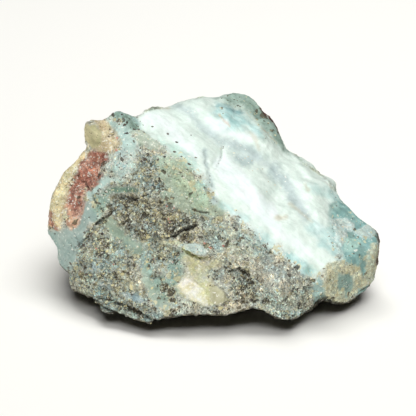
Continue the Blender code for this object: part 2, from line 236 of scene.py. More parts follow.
@dataclass
class Studio:
    """The floor, the lights and the faint light all round."""

    floor_size: float = 6000.0
    floor_colour: Rgb = (245, 244, 239)
    floor_roughness: float = 0.9
    floor_specular: float = 0.1
    key: Softbox = Softbox("key_softbox", 152.0, 74.5, 900.0, 320.0, 5.0)
    paper: Softbox = Softbox("paper_softbox", 152.0, 74.5, 900.0, 320.0, 3.0, target=Target.FLOOR)
    front: Softbox = Softbox("front_softbox", 15.0, 70.0, 700.0, 320.0, 3.2)
    fill: Softbox = Softbox("fill_softbox", 332.0, 20.0, 600.0, 400.0, 5.2, target=Target.STONE)
    room_light: float = 0.05

    def floor(self) -> Object:
        """Lays the pale floor that the stone rests on.

        Returns:
            The floor.
        """
        bpy.ops.mesh.primitive_plane_add(size=self.floor_size * MM)
        floor = rename("studio_floor")
        finish, kit, shader = new_finish("pale paper")
        kit.place(shader, Base_Color=opaque(self.floor_colour), Roughness=self.floor_roughness,
                  Specular_IOR_Level=self.floor_specular)
        floor.data.materials.append(finish)
        return floor

    def make(self, stone_parts: Sequence[Object]) -> None:
        """Sets up the whole studio.

        Args:
            stone_parts: The pieces of the stone.
        """
        floor = self.floor()
        for softbox in (self.key, self.paper, self.front, self.fill):
            softbox.make([floor] if softbox.target is Target.FLOOR else stone_parts)
        world = bpy.data.worlds.new("studio")
        world.use_nodes = True
        world.node_tree.nodes["Background"].inputs["Strength"].default_value = self.room_light
        bpy.context.scene.world = world
        bpy.context.scene.view_settings.view_transform = "Standard"


@dataclass(frozen=True)
class Mineral:
    """How one kind of ground looks. Whatever is None stays as the ground under it is.

    tone and second are its two colours, as seen in plain light. dark, pale and warm are the shares of the
    surface that dark, white and yellow grains cover. fibre says how strongly it is streaked, crumb how high
    its relief stands in millimetres, and dull how rough its gloss is.
    """

    tone: Optional[Rgb] = None
    second: Optional[Rgb] = None
    dark: Optional[float] = None
    pale: Optional[float] = None
    warm: Optional[float] = None
    fibre: Optional[float] = None
    crumb: Optional[float] = None
    dull: Optional[float] = None


MATRIX = Mineral((247, 247, 247), (243, 243, 243), 0.13, 0.12, 0.16, 0.4, 0.3, 0.75)
VEIN = Mineral((229, 242, 233), (214, 230, 220), 0.0, 0.0, 0.0, 0.3, 0.08, 0.5)
# White vein, partly a painted highlight where the top faces the light.
WHITE_VEIN_AND_HIGHLIGHT = Mineral((240, 247, 245), (234, 246, 242), 0.0, 0.0, 0.0, 0.2, 0.06, 0.45)
SKY = Mineral((193, 223, 218), (164, 204, 200), None, None, None, 0.6, 0.06, 0.45)
DEEP_SKY = Mineral((112, 152, 155), (92, 134, 138), None, None, None, 0.6, None, 0.45)
# Grey-lavender, partly painted shade on slopes, hollows and cracks that turn away from the light.
LAVENDER_AND_SHADE = Mineral((185, 202, 202), (173, 191, 190), None, 0.02, None, 0.35, 0.1, 0.45)
BEIGE = Mineral((208, 204, 182), (192, 186, 158), None, None, None, None, None, 0.65)
GREY_CRUST = Mineral((164, 188, 176), (131, 154, 141), 0.03, 0.0, 0.02, 0.5, 0.1, 0.7)
GREEN_LOBE = Mineral((184, 212, 207), (137, 164, 153), 0.06, 0.0, 0.0, 0.3, 0.16, 0.65)
PALE_BLUE = Mineral((195, 218, 211), (165, 192, 187), 0.02, 0.05, 0.0, 0.4, 0.12, 0.55)
SPARKLING_BLUE = Mineral((236, 247, 247), (217, 243, 243), 0.06, 0.16, 0.02, 0.1, 0.2, 0.6)
CREAM_PLATE = Mineral((180, 191, 173), (160, 176, 155), 0.0, 0.25, 0.04, 0.5, 0.12, 0.65)
YELLOW_GREEN = Mineral((191, 210, 187), (170, 190, 163), 0.04, 0.03, 0.14, 0.6, 0.17, 0.7)
GREY_GREEN = Mineral((180, 192, 172), (159, 172, 154), 0.03, 0.04, 0.06, 0.5, 0.16, 0.65)
# Dark green, partly painted shade: it darkens a hollow and a plate's shadow line.
MOSS_GREEN_AND_SHADE = Mineral((78, 125, 102), (61, 103, 83), 0.03, 0.04, 0.04, 0.3, 0.14, 0.8)
DARK_PLATE = Mineral((228, 232, 234), (191, 195, 197), 0.28, 0.1, 0.2, 0.45, 0.38, 0.75)
SPECKLED = Mineral((231, 243, 242), (196, 206, 216), 0.16, 0.13, 0.24, 0.4, 0.34, 0.7)
BLUE_SEAM = Mineral((171, 195, 187), (152, 179, 168), 0.05, 0.04, 0.1, 0.2, 0.18, 0.6)
SEAM_CORE = Mineral((162, 180, 163), (143, 163, 148), 0.0, 0.02, 0.02, 0.3, 0.12, 0.55)
BLUE_PATCH = Mineral((172, 193, 202), (150, 178, 185), 0.04, 0.05, 0.0, 0.1, 0.12, 0.6)
OLIVE = Mineral((247, 247, 203), (243, 243, 150), 0.05, 0.03, 0.1, 0.4, 0.14, 0.75)
POCKET_YELLOW = Mineral((220, 218, 205), (216, 215, 168), 0.0, 0.06, 0.1, 0.4, 0.16, 0.6)
POCKET_WHITE = Mineral((242, 240, 234), (232, 225, 179), 0.0, 0.1, 0.0, 0.3, 0.14, 0.5)
QUARTZ = Mineral((189, 188, 155), (167, 164, 132), 0.0, 0.04, 0.0, 0.2, 0.08, 0.3)
PINK_GREY = Mineral((233, 231, 221), (196, 193, 187), 0.14, 0.12, 0.04, 0.4, 0.24, 0.7)
RECESS = Mineral((247, 247, 242), (225, 220, 219), 0.36, 0.1, 0.16, 0.1, 0.38, 0.8)
RIDGE_GREY = Mineral((225, 237, 234), (199, 208, 206), 0.1, 0.12, 0.05, 0.45, 0.26, 0.7)
FIBROUS_GREY = Mineral((247, 247, 247), (243, 243, 243), 0.05, 0.14, 0.03, 0.9, 0.28, 0.6)
STRIPED_GREY = Mineral((244, 247, 247), (223, 238, 243), 0.13, 0.14, 0.08, 1.0, 0.34, 0.7)
TEAL = Mineral((151, 192, 187), (120, 161, 158), 0.02, 0.03, 0.02, 0.5, 0.10, 0.45)
BLUE_FACE = Mineral((167, 183, 177), (140, 162, 156), 0.03, 0.03, 0.0, 0.4, 0.12, 0.5)
TAN_CRUST = Mineral((237, 237, 216), (201, 201, 178), 0.03, 0.03, 0.16, 0.2, 0.2, 0.85)
FLAKE = Mineral((217, 228, 226), (203, 224, 223), 0.0, 0.08, 0.03, 0.3, 0.17, 0.6)
RUST = Mineral((228, 172, 154), (168, 106, 94), 0.08, 0.1, 0.0, 0.8, 0.22, 0.7)
PALE_RUST = Mineral((222, 184, 158), (204, 140, 120), 0.04, 0.08, 0.06, 1.0, 0.18, 0.65)
CREAM_BAND = Mineral((244, 234, 194), (218, 192, 146), 0.03, 0.14, 0.1, 0.6, 0.17, 0.6)
TAN_BAND = Mineral((227, 211, 180), (193, 173, 138), 0.03, 0.12, 0.14, 0.5, 0.16, 0.6)
KNOB_FACE = Mineral((199, 190, 150), (165, 161, 121), 0.02, 0.0, 0.0, 0.7, 0.12, 0.55)
VEIN_LINE = Mineral((148, 160, 152), (132, 146, 138), None, None, None, 0.4, None, 0.6)
DEEP_TEAL = Mineral((132, 162, 154), (105, 139, 134), 0.02, 0.02, 0.02, 0.9, 0.12, 0.5)
PALE_TEAL = Mineral((194, 225, 213), (173, 210, 199), 0.02, 0.04, 0.02, 0.4, 0.12, 0.6)
RAGGED = Mineral((241, 247, 246), (220, 234, 218), 0.0, 0.0, 0.0, None, 0.25, 0.7)
DARK_RIM = Mineral((112, 66, 56), (70, 46, 40), 0.2, 0.04, 0.0, 0.1, 0.2, 0.8)
SHADOW_LINE = Mineral((58, 54, 44), (40, 38, 32), 0.4, 0.0, 0.0, 0.0, None, 0.9)
# Painted shade under the stone: a dark ground for low faces that look down.
UNDERSIDE_SHADE = Mineral((74, 72, 60), (50, 48, 40), 0.3, 0.02, 0.04, 0.1, 0.3, 0.85)
BOTTOM_STRATA = Mineral((200, 217, 218), (143, 157, 157), 0.16, 0.06, 0.06, 1.0, 0.26, 0.65)


class Shape(Enum):
    """How the spots of a zone are joined: round an area, or along a line."""

    AREA = "area"
    LINE = "line"


@dataclass(frozen=True)
class Zone:
    """A part of the ground that the viewer sees, and the mineral that it is made of.

    spread is how far it reaches beyond its spots, soft how wide its edge fades, and ragged how far the edge
    wanders, all in spots. strength is how much of the ground it covers.
    """

    mineral: Mineral
    spots: Sequence[Spot]
    shape: Shape
    spread: float
    soft: float
    ragged: float
    strength: float = 1.0


AREA, LINE = Shape.AREA, Shape.LINE

# The zones that the photograph shows, each laid over those before it.
ZONES = {
    "vein": Zone(VEIN, (
        (130, 128), (136, 112), (150, 100), (190, 90), (250, 85), (300, 130), (350, 180), (352, 215),
        (334, 240), (340, 262), (322, 278), (315, 283), (308, 277), (301, 268), (288, 259), (279, 250),
        (265, 240), (256, 233), (246, 226), (237, 219), (226, 214), (218, 206), (213, 197), (207, 190),
        (198, 180), (191, 173), (183, 162), (168, 158), (163, 150), (139, 143)), AREA, 0, 15, 7),
    "grey_green_slope": Zone(GREY_GREEN, (
        (152, 180), (160, 172), (176, 178), (192, 184), (210, 198), (226, 214), (214, 218), (196, 214),
        (180, 209), (166, 202), (157, 193)), AREA, 3, 8, 5),
    "yellow_slope": Zone(YELLOW_GREEN, (
        (155, 160), (168, 156), (184, 162), (196, 174), (206, 188), (208, 202), (200, 206), (190, 196),
        (180, 184), (168, 174), (157, 170)), AREA, 2, 9, 6, 0.85),
    "ridge_grey": Zone(RIDGE_GREY, (
        (188, 222), (206, 216), (226, 220), (244, 230), (258, 238), (274, 252), (262, 258), (240, 256),
        (222, 250), (204, 240)), AREA, 0, 10, 7),
    "speckled_slope": Zone(SPECKLED, (
        (136, 156), (150, 158), (158, 172), (164, 188), (156, 192), (140, 192),
        (132, 178)), AREA, 0, 12, 7, 0.9),
    "sparkling_cheek": Zone(SPARKLING_BLUE, (
        (110, 150), (126, 146), (138, 154), (136, 170), (124, 178), (108, 176),
        (102, 164)), AREA, 0, 10, 6),
    "pale_cheek": Zone(PALE_BLUE, (
        (96, 178), (112, 172), (128, 180), (118, 186), (102, 192), (92, 196), (86, 204),
        (84, 192)), AREA, 0, 9, 5),
    # Partly painted shade: the green hollow is darkened.
    "moss_hollow": Zone(MOSS_GREEN_AND_SHADE, (
        (101, 187), (112, 182), (126, 183), (140, 187), (144, 193), (136, 195), (122, 195), (110, 198),
        (101, 195)), AREA, 0, 7, 4, 0.9),
    "green_side": Zone(BLUE_SEAM, (
        (94, 196), (108, 194), (112, 200), (104, 212), (96, 224), (88, 224), (86, 208)), AREA, 0, 8, 5),
    "lobe": Zone(GREEN_LOBE, (
        (104, 114), (112, 106), (124, 106), (133, 112), (140, 122), (144, 131), (135, 134), (128, 128),
        (120, 121), (111, 118)), AREA, 0, 6, 3),
    "pale_channel": Zone(PALE_BLUE, (
        (98, 118), (111, 118), (121, 123), (129, 131), (136, 140), (141, 150), (128, 152), (121, 144),
        (117, 135), (107, 126)), AREA, 0, 8, 4),
    "cream_plate": Zone(CREAM_PLATE, (
        (132, 132), (142, 130), (150, 138), (158, 142), (165, 149), (159, 151), (150, 147), (140, 144),
        (136, 138)), AREA, 1, 2.5, 1.5, 0.8),
    "plate_shadow": Zone(MOSS_GREEN_AND_SHADE, ((139, 145), (150, 149), (164, 152)), LINE, 0.9, 2, 1.5, 0.9),
    "dark_plate": Zone(DARK_PLATE, (
        (117, 198), (144, 195), (153, 190), (161, 195), (164, 204), (174, 207), (182, 214), (196, 221),
        (199, 226), (188, 232), (175, 235), (168, 239), (153, 244), (146, 244), (131, 238), (125, 232),
        (113, 226), (96, 224), (104, 217), (113, 209), (108, 206)), AREA, 0, 5, 4),
    "lower_left_lump": Zone(SPECKLED, (
        (85, 226), (96, 226), (104, 232), (126, 240), (134, 252), (132, 270), (146, 290), (150, 318),
        (110, 316), (90, 304), (70, 292), (66, 272), (76, 258), (78, 240)), AREA, 0, 9, 7),
    "blue_seam": Zone(BLUE_SEAM, (
        (104, 228), (120, 230), (132, 238), (148, 246), (154, 258), (158, 274), (178, 276), (184, 288),
        (176, 304), (160, 300), (148, 284), (138, 268), (128, 250), (112, 236)), AREA, 0, 11, 7),
    "yellow_seam": Zone(YELLOW_GREEN, ((104, 223), (114, 230), (124, 238)), LINE, 4, 7, 5, 0.7),
    "yellow_low_seam": Zone(POCKET_YELLOW, ((128, 280), (134, 288)), LINE, 3, 6, 5, 0.6),
    "seam_core": Zone(SEAM_CORE, (
        (111, 226), (125, 238), (137, 244), (142, 256), (147, 268), (143, 279), (150, 289), (156, 299),
        (168, 308)), LINE, 4, 6, 6, 0.85),
    "seam_branch": Zone(SEAM_CORE, ((184, 258), (177, 270), (169, 280), (175, 288)), LINE, 4, 6, 6, 0.8),
    "seam_clump": Zone(RECESS, ((155, 255), (156, 266), (154, 276)), LINE, 2.5, 4, 5, 0.9),
    "blue_by_pocket": Zone(BLUE_SEAM, (
        (160, 250), (178, 250), (184, 262), (182, 284), (172, 292), (164, 276)), AREA, 0, 10, 6),
    "mixed_middle": Zone(SPECKLED, (
        (150, 246), (166, 244), (178, 252), (172, 262), (158, 266)), AREA, 0, 7, 5, 0.7),
    "olive_middle": Zone(OLIVE, ((162, 242), (178, 243)), LINE, 1.5, 4, 2, 0.7),
    "dark_by_pocket": Zone(RECESS, ((164, 285), (171, 292), (176, 301)), LINE, 3.5, 5, 6, 0.85),
    "pocket_yellow": Zone(POCKET_YELLOW, (
        (186, 256), (206, 260), (218, 262), (214, 276), (226, 290), (224, 306), (200, 310), (184, 304),
        (180, 288), (188, 272)), AREA, 0, 10, 6),
    "pocket_pink": Zone(PINK_GREY, (
        (178, 298), (190, 300), (206, 306), (228, 308), (244, 300), (250, 308), (228, 318), (190, 318),
        (176, 312)), AREA, 0, 6, 4),
    "fibre_fan": Zone(FIBROUS_GREY, (
        (206, 270), (222, 270), (234, 282), (236, 296), (226, 292), (216, 284)), AREA, 0, 5, 3, 0.8),
    "pocket_white": Zone(POCKET_WHITE, (
        (178, 286), (186, 278), (196, 282), (204, 288), (208, 298), (210, 308), (200, 304),
        (190, 300)), AREA, 0, 4, 3),
    "quartz_lump": Zone(QUARTZ, (
        (208, 288), (218, 286), (225, 292), (226, 302), (218, 306), (210, 302)), AREA, 0, 3, 2),
    "small_ledge": Zone(PALE_BLUE, (
        (180, 246), (192, 244), (202, 246), (209, 251), (206, 256), (196, 254),
        (187, 249)), AREA, 0, 4, 3, 0.75),
    "ledge_shadow": Zone(OLIVE, ((184, 249), (193, 256), (200, 259), (207, 259)), LINE, 1.2, 3, 1.5),
    "recess": Zone(RECESS, (
        (232, 272), (246, 270), (254, 282), (256, 298), (246, 302), (236, 294), (230, 284)), AREA, 0, 6, 4),
    "grey_lump": Zone(FIBROUS_GREY, (
        (256, 258), (272, 256), (286, 258), (298, 266), (304, 278), (296, 290), (280, 296), (264, 290),
        (256, 276)), AREA, 0, 10, 6),
    "striped_lump": Zone(STRIPED_GREY, (
        (262, 292), (284, 294), (300, 284), (310, 276), (318, 288), (322, 306), (300, 324), (280, 326),
        (266, 314)), AREA, 0, 10, 6),
    "blue_by_lump": Zone(TEAL, (
        (308, 280), (320, 274), (328, 284), (330, 302), (318, 304), (312, 294)), AREA, 0, 5, 4, 0.8),
    "teal_end": Zone(TEAL, (
        (334, 198), (346, 196), (384, 222), (386, 282), (366, 302), (352, 296), (346, 270), (340, 256),
        (332, 242), (329, 222)), AREA, 0, 14, 6),
    "deep_teal_top": Zone(DEEP_TEAL, ((334, 205), (344, 211), (353, 218)), LINE, 3, 7, 5, 0.8),
    "deep_teal_right": Zone(DEEP_TEAL, (
        (350, 234), (358, 247), (363, 256), (365, 266)), LINE, 3.5, 7, 5, 0.8),
    "tan_crust": Zone(TAN_CRUST, (
        (320, 272), (328, 263), (342, 263), (359, 266), (364, 274), (368, 258), (372, 246), (382, 236),
        (382, 268), (372, 280), (364, 284), (356, 296), (348, 308), (334, 306), (326, 294)), AREA, 0, 4, 6),
    "crust_window": Zone(DEEP_TEAL, (
        (340, 275), (353, 276), (355, 288), (346, 296), (339, 287)), AREA, 0, 3, 4, 0.9),
    "right_flake": Zone(FLAKE, (
        (330, 220), (347, 219), (353, 225), (352, 230), (346, 229), (344, 243), (341, 247), (336, 242),
        (336, 230)), AREA, 1, 1.2, 1.8),
    "green_flake": Zone(PALE_TEAL, (
        (345, 239), (360, 241), (352, 251), (345, 250)), AREA, 1.5, 1.2, 1.2, 0.55),
    "far_flake": Zone(FLAKE, (
        (355, 232), (368, 225), (376, 232), (370, 239), (361, 238)), AREA, 1, 1.2, 1.8, 0.9),
    "crown_crust": Zone(GREY_CRUST, (
        (215, 97), (230, 88), (248, 88), (266, 100), (284, 122), (290, 150), (276, 144), (269, 139),
        (260, 130), (254, 123), (247, 113), (237, 110), (223, 106)), AREA, 0, 13, 6),
    "dark_rim": Zone(DARK_RIM, ((262, 108), (270, 116), (276, 122), (280, 132)), LINE, 1.6, 2, 1.5),
    # Dark red-brown rim, partly painted shade on the right facet that faces away from the light.
    "right_rim_and_shade": Zone(DARK_RIM, (
        (375, 227), (379, 236), (379, 244), (378, 254), (376, 264)), LINE, 1.5, 1.5, 1, 0.9),
    "crown_sky": Zone(SKY, (
        (216, 103), (232, 109), (246, 114), (256, 124), (262, 134), (246, 130), (226, 130), (222, 120),
        (212, 112)), AREA, 0, 11, 6),
    "crown_deep_sky": Zone(DEEP_SKY, ((218, 105), (230, 109), (243, 114)), LINE, 1.5, 5, 2, 0.6),
    "crown_lens": Zone(WHITE_VEIN_AND_HIGHLIGHT, ((206, 119), (216, 121), (226, 122)), LINE, 1.5, 6, 4, 0.7),
    "crown_apron": Zone(WHITE_VEIN_AND_HIGHLIGHT, ((212, 130), (226, 134), (240, 136), (252, 136)), LINE, 3, 7, 4, 0.8),
    # The lavender zones down to the crack are partly painted shade: on the vein's step, in a hollow and
    # along a crack.
    "lavender_top": Zone(LAVENDER_AND_SHADE, (
        (176, 104), (188, 112), (200, 124), (210, 134), (220, 141), (234, 144)), LINE, 3.5, 8, 3, 0.75),
    "lavender_middle": Zone(LAVENDER_AND_SHADE, (
        (234, 146), (248, 150), (262, 160), (274, 168)), LINE, 5.5, 9, 4, 0.85),
    "lavender_slope": Zone(LAVENDER_AND_SHADE, (
        (272, 170), (284, 180), (292, 192), (298, 204), (306, 216)), LINE, 5, 9, 4, 0.9),
    "lavender_hollow": Zone(LAVENDER_AND_SHADE, ((238, 158), (250, 162)), LINE, 4, 6, 4, 0.8),
    "near_crack": Zone(LAVENDER_AND_SHADE, (
        (205, 150), (206, 162), (209, 174), (213, 188), (214, 202)), LINE, 2.5, 5, 3, 0.8),
    # Painted highlight: the brightest, glaring part of the vein is made whiter.
    "hot_middle": Zone(WHITE_VEIN_AND_HIGHLIGHT, (
        (222, 166), (232, 176), (246, 190), (258, 202), (268, 214)), LINE, 9, 8, 4),
    "hot_low": Zone(WHITE_VEIN_AND_HIGHLIGHT, ((270, 220), (282, 234), (296, 244), (308, 252)), LINE, 4, 8, 4, 0.8),
    "blue_spot": Zone(DEEP_SKY, ((198, 180), (204, 186)), LINE, 1.5, 4, 2, 0.8),
    "sky_upper": Zone(SKY, ((222, 206), (234, 212), (246, 220)), LINE, 3.5, 6, 3, 0.6),
    "sky_middle": Zone(SKY, ((258, 234), (268, 242), (276, 250)), LINE, 4, 7, 4, 0.65),
    "sky_low": Zone(SKY, ((288, 256), (300, 264), (310, 272)), LINE, 4.5, 7, 4),
    "sky_rim": Zone(SKY, ((308, 186), (320, 190), (334, 196)), LINE, 4, 7, 4, 0.5),
    "sky_right": Zone(SKY, ((314, 226), (326, 232), (334, 242)), LINE, 6, 8, 4, 0.7),
    "sky_lowest": Zone(SKY, ((322, 244), (334, 250)), LINE, 4, 7, 4, 0.7),
    "beige_spot": Zone(BEIGE, ((278, 218), (286, 217)), LINE, 2, 4, 2, 0.7),
    "beige_rim": Zone(BEIGE, ((305, 184), (308, 190)), LINE, 2, 4, 2, 0.6),
    "cream_line": Zone(BEIGE, ((290, 204), (300, 212), (312, 222)), LINE, 1, 3, 2, 0.5),
    "beige_streak": Zone(BEIGE, ((250, 132), (256, 140), (259, 150)), LINE, 1.2, 4, 2, 0.5),
    # Partly painted highlight on the strongly lit parts of the vein.
    "bright_upper": Zone(WHITE_VEIN_AND_HIGHLIGHT, ((150, 118), (166, 124), (180, 138), (192, 152)), LINE, 7, 10, 5, 0.85),
    "bright_right": Zone(WHITE_VEIN_AND_HIGHLIGHT, ((296, 184), (304, 200), (316, 218), (322, 228)), LINE, 3, 8, 5, 0.4),
    "teal_band": Zone(PALE_TEAL, (
        (160, 141), (174, 147), (186, 155), (196, 170), (204, 186)), LINE, 4, 10, 5, 0.7),
    "upper_line": Zone(VEIN_LINE, (
        (203, 152), (206, 162), (206, 172), (211, 180), (212, 190), (213, 198)), LINE, 0.5, 1.6, 1, 0.5),
    "arc_line": Zone(VEIN_LINE, ((222, 146), (221, 157), (217, 167), (211, 173)), LINE, 0.5, 1.6, 1, 0.4),
    "crown_cream_line": Zone(BEIGE, (
        (246, 112), (256, 122), (266, 132), (277, 143)), LINE, 0.5, 1.8, 1.2, 0.7),
    "crown_mark_left": Zone(PALE_RUST, (
        (219, 114), (223, 119), (228, 124), (230, 126)), LINE, 0.4, 1.6, 1.2, 0.4),
    "crown_mark_right": Zone(PALE_RUST, ((264, 130), (268, 133), (271, 137)), LINE, 0.4, 1.6, 1.2, 0.6),
    "ragged_top": Zone(RAGGED, (
        (146, 110), (160, 106), (175, 101), (190, 96), (210, 93)), LINE, 2, 3, 1, 0.85),
    "ragged_right": Zone(RAGGED, ((290, 148), (305, 163), (322, 175), (336, 190)), LINE, 1.5, 3, 1, 0.75),
    "beige_edge": Zone(BEIGE, ((148, 108), (158, 108), (168, 108)), LINE, 1, 3, 2, 0.6),
    "blue_face": Zone(BLUE_FACE, (
        (44, 226), (58, 230), (72, 224), (84, 204), (92, 202), (97, 214), (92, 226), (84, 236), (76, 250),
        (70, 272), (58, 274), (50, 256), (44, 240)), AREA, 0, 6, 4),
    "cream_band": Zone(CREAM_BAND, (
        (84, 146), (72, 158), (60, 172), (50, 188), (44, 210), (44, 226), (60, 230), (64, 214), (66, 196),
        (72, 180), (82, 164), (92, 152)), AREA, 0, 6, 4),
    "tan_stripe": Zone(TAN_BAND, ((74, 178), (67, 192), (64, 206), (63, 218)), LINE, 2.5, 4, 3, 0.9),
    "pale_rust": Zone(PALE_RUST, ((79, 186), (75, 198), (72, 210), (72, 223)), LINE, 6, 4, 5),
    "orange_streak": Zone(PALE_RUST, ((84, 194), (82, 206), (79, 218)), LINE, 2.5, 4, 4, 0.7),
    "rust": Zone(RUST, (
        (86, 156), (94, 152), (106, 152), (110, 160), (103, 168), (101, 178), (96, 186), (88, 189),
        (84, 184), (80, 192), (77, 202), (72, 200), (74, 184), (77, 170), (80, 162)), AREA, 0.5, 5, 6),
    "rust_low": Zone(RUST, ((78, 196), (75, 206), (74, 216)), LINE, 2.6, 4, 4, 0.8),
    "rust_edge": Zone(RUST, ((49, 214), (50, 224), (58, 230)), LINE, 1.2, 3, 3, 0.9),
    "rust_dot": Zone(DARK_RIM, ((61, 173), (65, 170)), LINE, 0.8, 2, 2, 0.8),
    "knob_band": Zone(TAN_BAND, (
        (88, 116), (104, 117), (112, 128), (120, 140), (119, 150), (110, 154), (98, 150), (92, 146),
        (100, 136), (98, 124)), AREA, 0, 4, 3),
    "knob_face": Zone(KNOB_FACE, (
        (86, 124), (96, 124), (101, 132), (100, 144), (92, 148), (84, 140), (82, 130)), AREA, 0, 3, 2),
    "bottom_strata": Zone(BOTTOM_STRATA, (
        (96, 302), (116, 308), (138, 316), (160, 314), (182, 308), (182, 326), (130, 332),
        (100, 322)), AREA, 0, 5, 4),
    "light_blue_low": Zone(BLUE_PATCH, ((124, 294), (134, 298), (142, 301)), LINE, 2.5, 5, 4, 0.7),
    "blue_in_lump": Zone(BLUE_PATCH, ((88, 268), (98, 270)), LINE, 2, 5, 4, 0.7),
    "blue_low_left": Zone(BLUE_PATCH, ((100, 284), (110, 288)), LINE, 1.8, 5, 4, 0.7),
    "blue_high_left": Zone(BLUE_PATCH, ((112, 250), (122, 254)), LINE, 2, 5, 4, 0.5),
}


@dataclass(frozen=True)
class Cut:
    """A crevice that the viewer sees: half its width in spots, its depth in mm, and the strength of its
    painted shade.
    """

    spots: Sequence[Spot]
    half_width: float
    depth: float
    dark: float


# The crevices, in the order in which they are carved.
CUTS = {
    "plate_top": Cut((
        (113, 198), (125, 197), (135, 199), (142, 196), (150, 193), (155, 188)), 1.1, 0.6, 0.7),
    "plate_left": Cut(((116, 208), (110, 214), (103, 219), (95, 225)), 1.0, 0.6, 0.7),
    "plate_foot": Cut((
        (163, 239), (170, 238), (176, 235), (182, 230), (190, 227), (197, 225)), 1.3, 0.9, 0.75),
    "ledge_foot": Cut(ZONES["ledge_shadow"].spots, 1.5, 0.9, 0.5),
    "rust_crack": Cut(((84, 181), (88, 188), (92, 192), (94, 198), (98, 206), (103, 210)), 0.7, 0.3, 0.5),
    "strata_low": Cut(((84, 303), (98, 305), (112, 311), (126, 319)), 1.4, 0.6, 0.75),
    "strata_middle": Cut(((96, 297), (112, 300), (126, 306), (140, 313)), 1.2, 0.5, 0.65),
    "strata_right": Cut(((128, 309), (144, 316), (158, 322)), 1.2, 0.5, 0.65),
    "strata_left": Cut(((74, 293), (84, 297), (96, 301)), 1.3, 0.6, 0.75),
    "recess_top": Cut(((229, 271), (240, 270), (250, 276)), 1.3, 0.6, 0.7),
    "recess_foot": Cut(((238, 300), (248, 303), (256, 300)), 1.2, 0.5, 0.7),
    "quartz_rim": Cut(((208, 286), (215, 285), (222, 288), (226, 294), (227, 301)), 0.8, 0.3, 0.3),
    "seam_split": Cut(((153, 262), (157, 268), (159, 276), (163, 283)), 0.9, 0.4, 0.6),
    "lump_split": Cut(((128, 262), (134, 266), (137, 271)), 1.0, 0.5, 0.7),
    "lump_rim": Cut(((77, 246), (82, 241), (88, 237)), 1.0, 0.4, 0.6),
    "ridge_split": Cut(((163, 170), (170, 176), (179, 180), (186, 188), (191, 197)), 0.7, 0.3, 0.5),
    "ridge_end": Cut(((193, 209), (201, 212), (209, 213)), 0.8, 0.4, 0.6),
    "face_crack": Cut(((72, 226), (75, 236), (79, 246)), 0.7, 0.25, 0.25),
    "vein_crack": Cut((
        (205, 150), (205, 161), (208, 172), (210, 178), (213, 188), (214, 200)), 0.8, 0.25, 0.15),
    "vein_arc": Cut(((223, 146), (221, 158), (215, 169), (209, 177)), 0.8, 0.2, 0.1),
}


@dataclass(frozen=True)
class Raised:
    """How a zone stands proud of the ground: height in millimetres, and the width of its rim in spots."""

    height: float
    edge: float = 1.2


# The zones that stand proud of the ground, by their names in ZONES.
PLATES = {
    "cream_plate": Raised(0.45),
    "right_flake": Raised(0.35),
    "far_flake": Raised(0.3),
    "small_ledge": Raised(0.6),
    "tan_crust": Raised(0.2, 2.0),
    "quartz_lump": Raised(0.7, 4.0),
    "pocket_white": Raised(0.4, 3.0),
}


@dataclass(frozen=True)
class Fleck:
    """One crystal set in the ground: where it is seen, half its length and half its width in millimetres.

    turn is how far it is turned from lying across the picture, in degrees.
    """

    spot: Spot
    length: float
    width: float
    turn: float


def flecks(*rows: tuple[float, float, float, float, float]) -> tuple[Fleck, ...]:
    """Makes a fleck of each row: across, down, length, width and turn."""
    return tuple(Fleck(row[:2], *row[2:]) for row in rows)


# The crystals that stand out in the photograph. All others are strewn.
DARK_FLECKS = flecks(
    (112.7, 113.8, 0.34, 0.22, 10), (121.9, 114.5, 0.32, 0.24, 60), (127.2, 122.2, 0.34, 0.2, 80),
    (124.5, 124.9, 0.36, 0.22, 20), (126.8, 133.3, 0.55, 0.2, 10), (134.5, 129.5, 0.4, 0.16, 5),
    (138.7, 129.5, 0.34, 0.16, 0), (137.5, 116.2, 0.3, 0.15, 0), (143.7, 132.1, 0.26, 0.14, 10),
    (152.5, 126.6, 0.28, 0.16, 160), (167.9, 133.7, 0.36, 0.22, 100), (176.6, 142.1, 0.32, 0.17, 170),
    (174.3, 151.6, 0.36, 0.2, 160), (181.5, 156.5, 0.24, 0.15, 0), (195.7, 157.4, 0.28, 0.14, 170),
    (189.2, 163.9, 0.4, 0.22, 155), (187.3, 169.6, 0.26, 0.18, 0), (182.3, 176.4, 0.24, 0.16, 30),
    (147.5, 153.6, 0.34, 0.16, 10), (164.7, 157.0, 0.26, 0.15, 0), (157.8, 160.0, 0.34, 0.2, 45),
    (145.2, 159.7, 0.42, 0.32, 30), (191.1, 135.2, 0.18, 0.1, 0), (91.6, 233.9, 0.4, 0.26, 80),
    (102.0, 233.9, 0.36, 0.24, 0), (83.9, 245.1, 0.4, 0.26, 60), (70.6, 263.2, 0.36, 0.3, 80),
    (86.5, 274.4, 0.36, 0.24, 20), (91.6, 276.0, 0.34, 0.22, 0), (133.8, 264.9, 0.42, 0.28, 70),
    (322.0, 276.0, 0.22, 0.16, 0), (334.0, 298.0, 0.26, 0.18, 90),
)
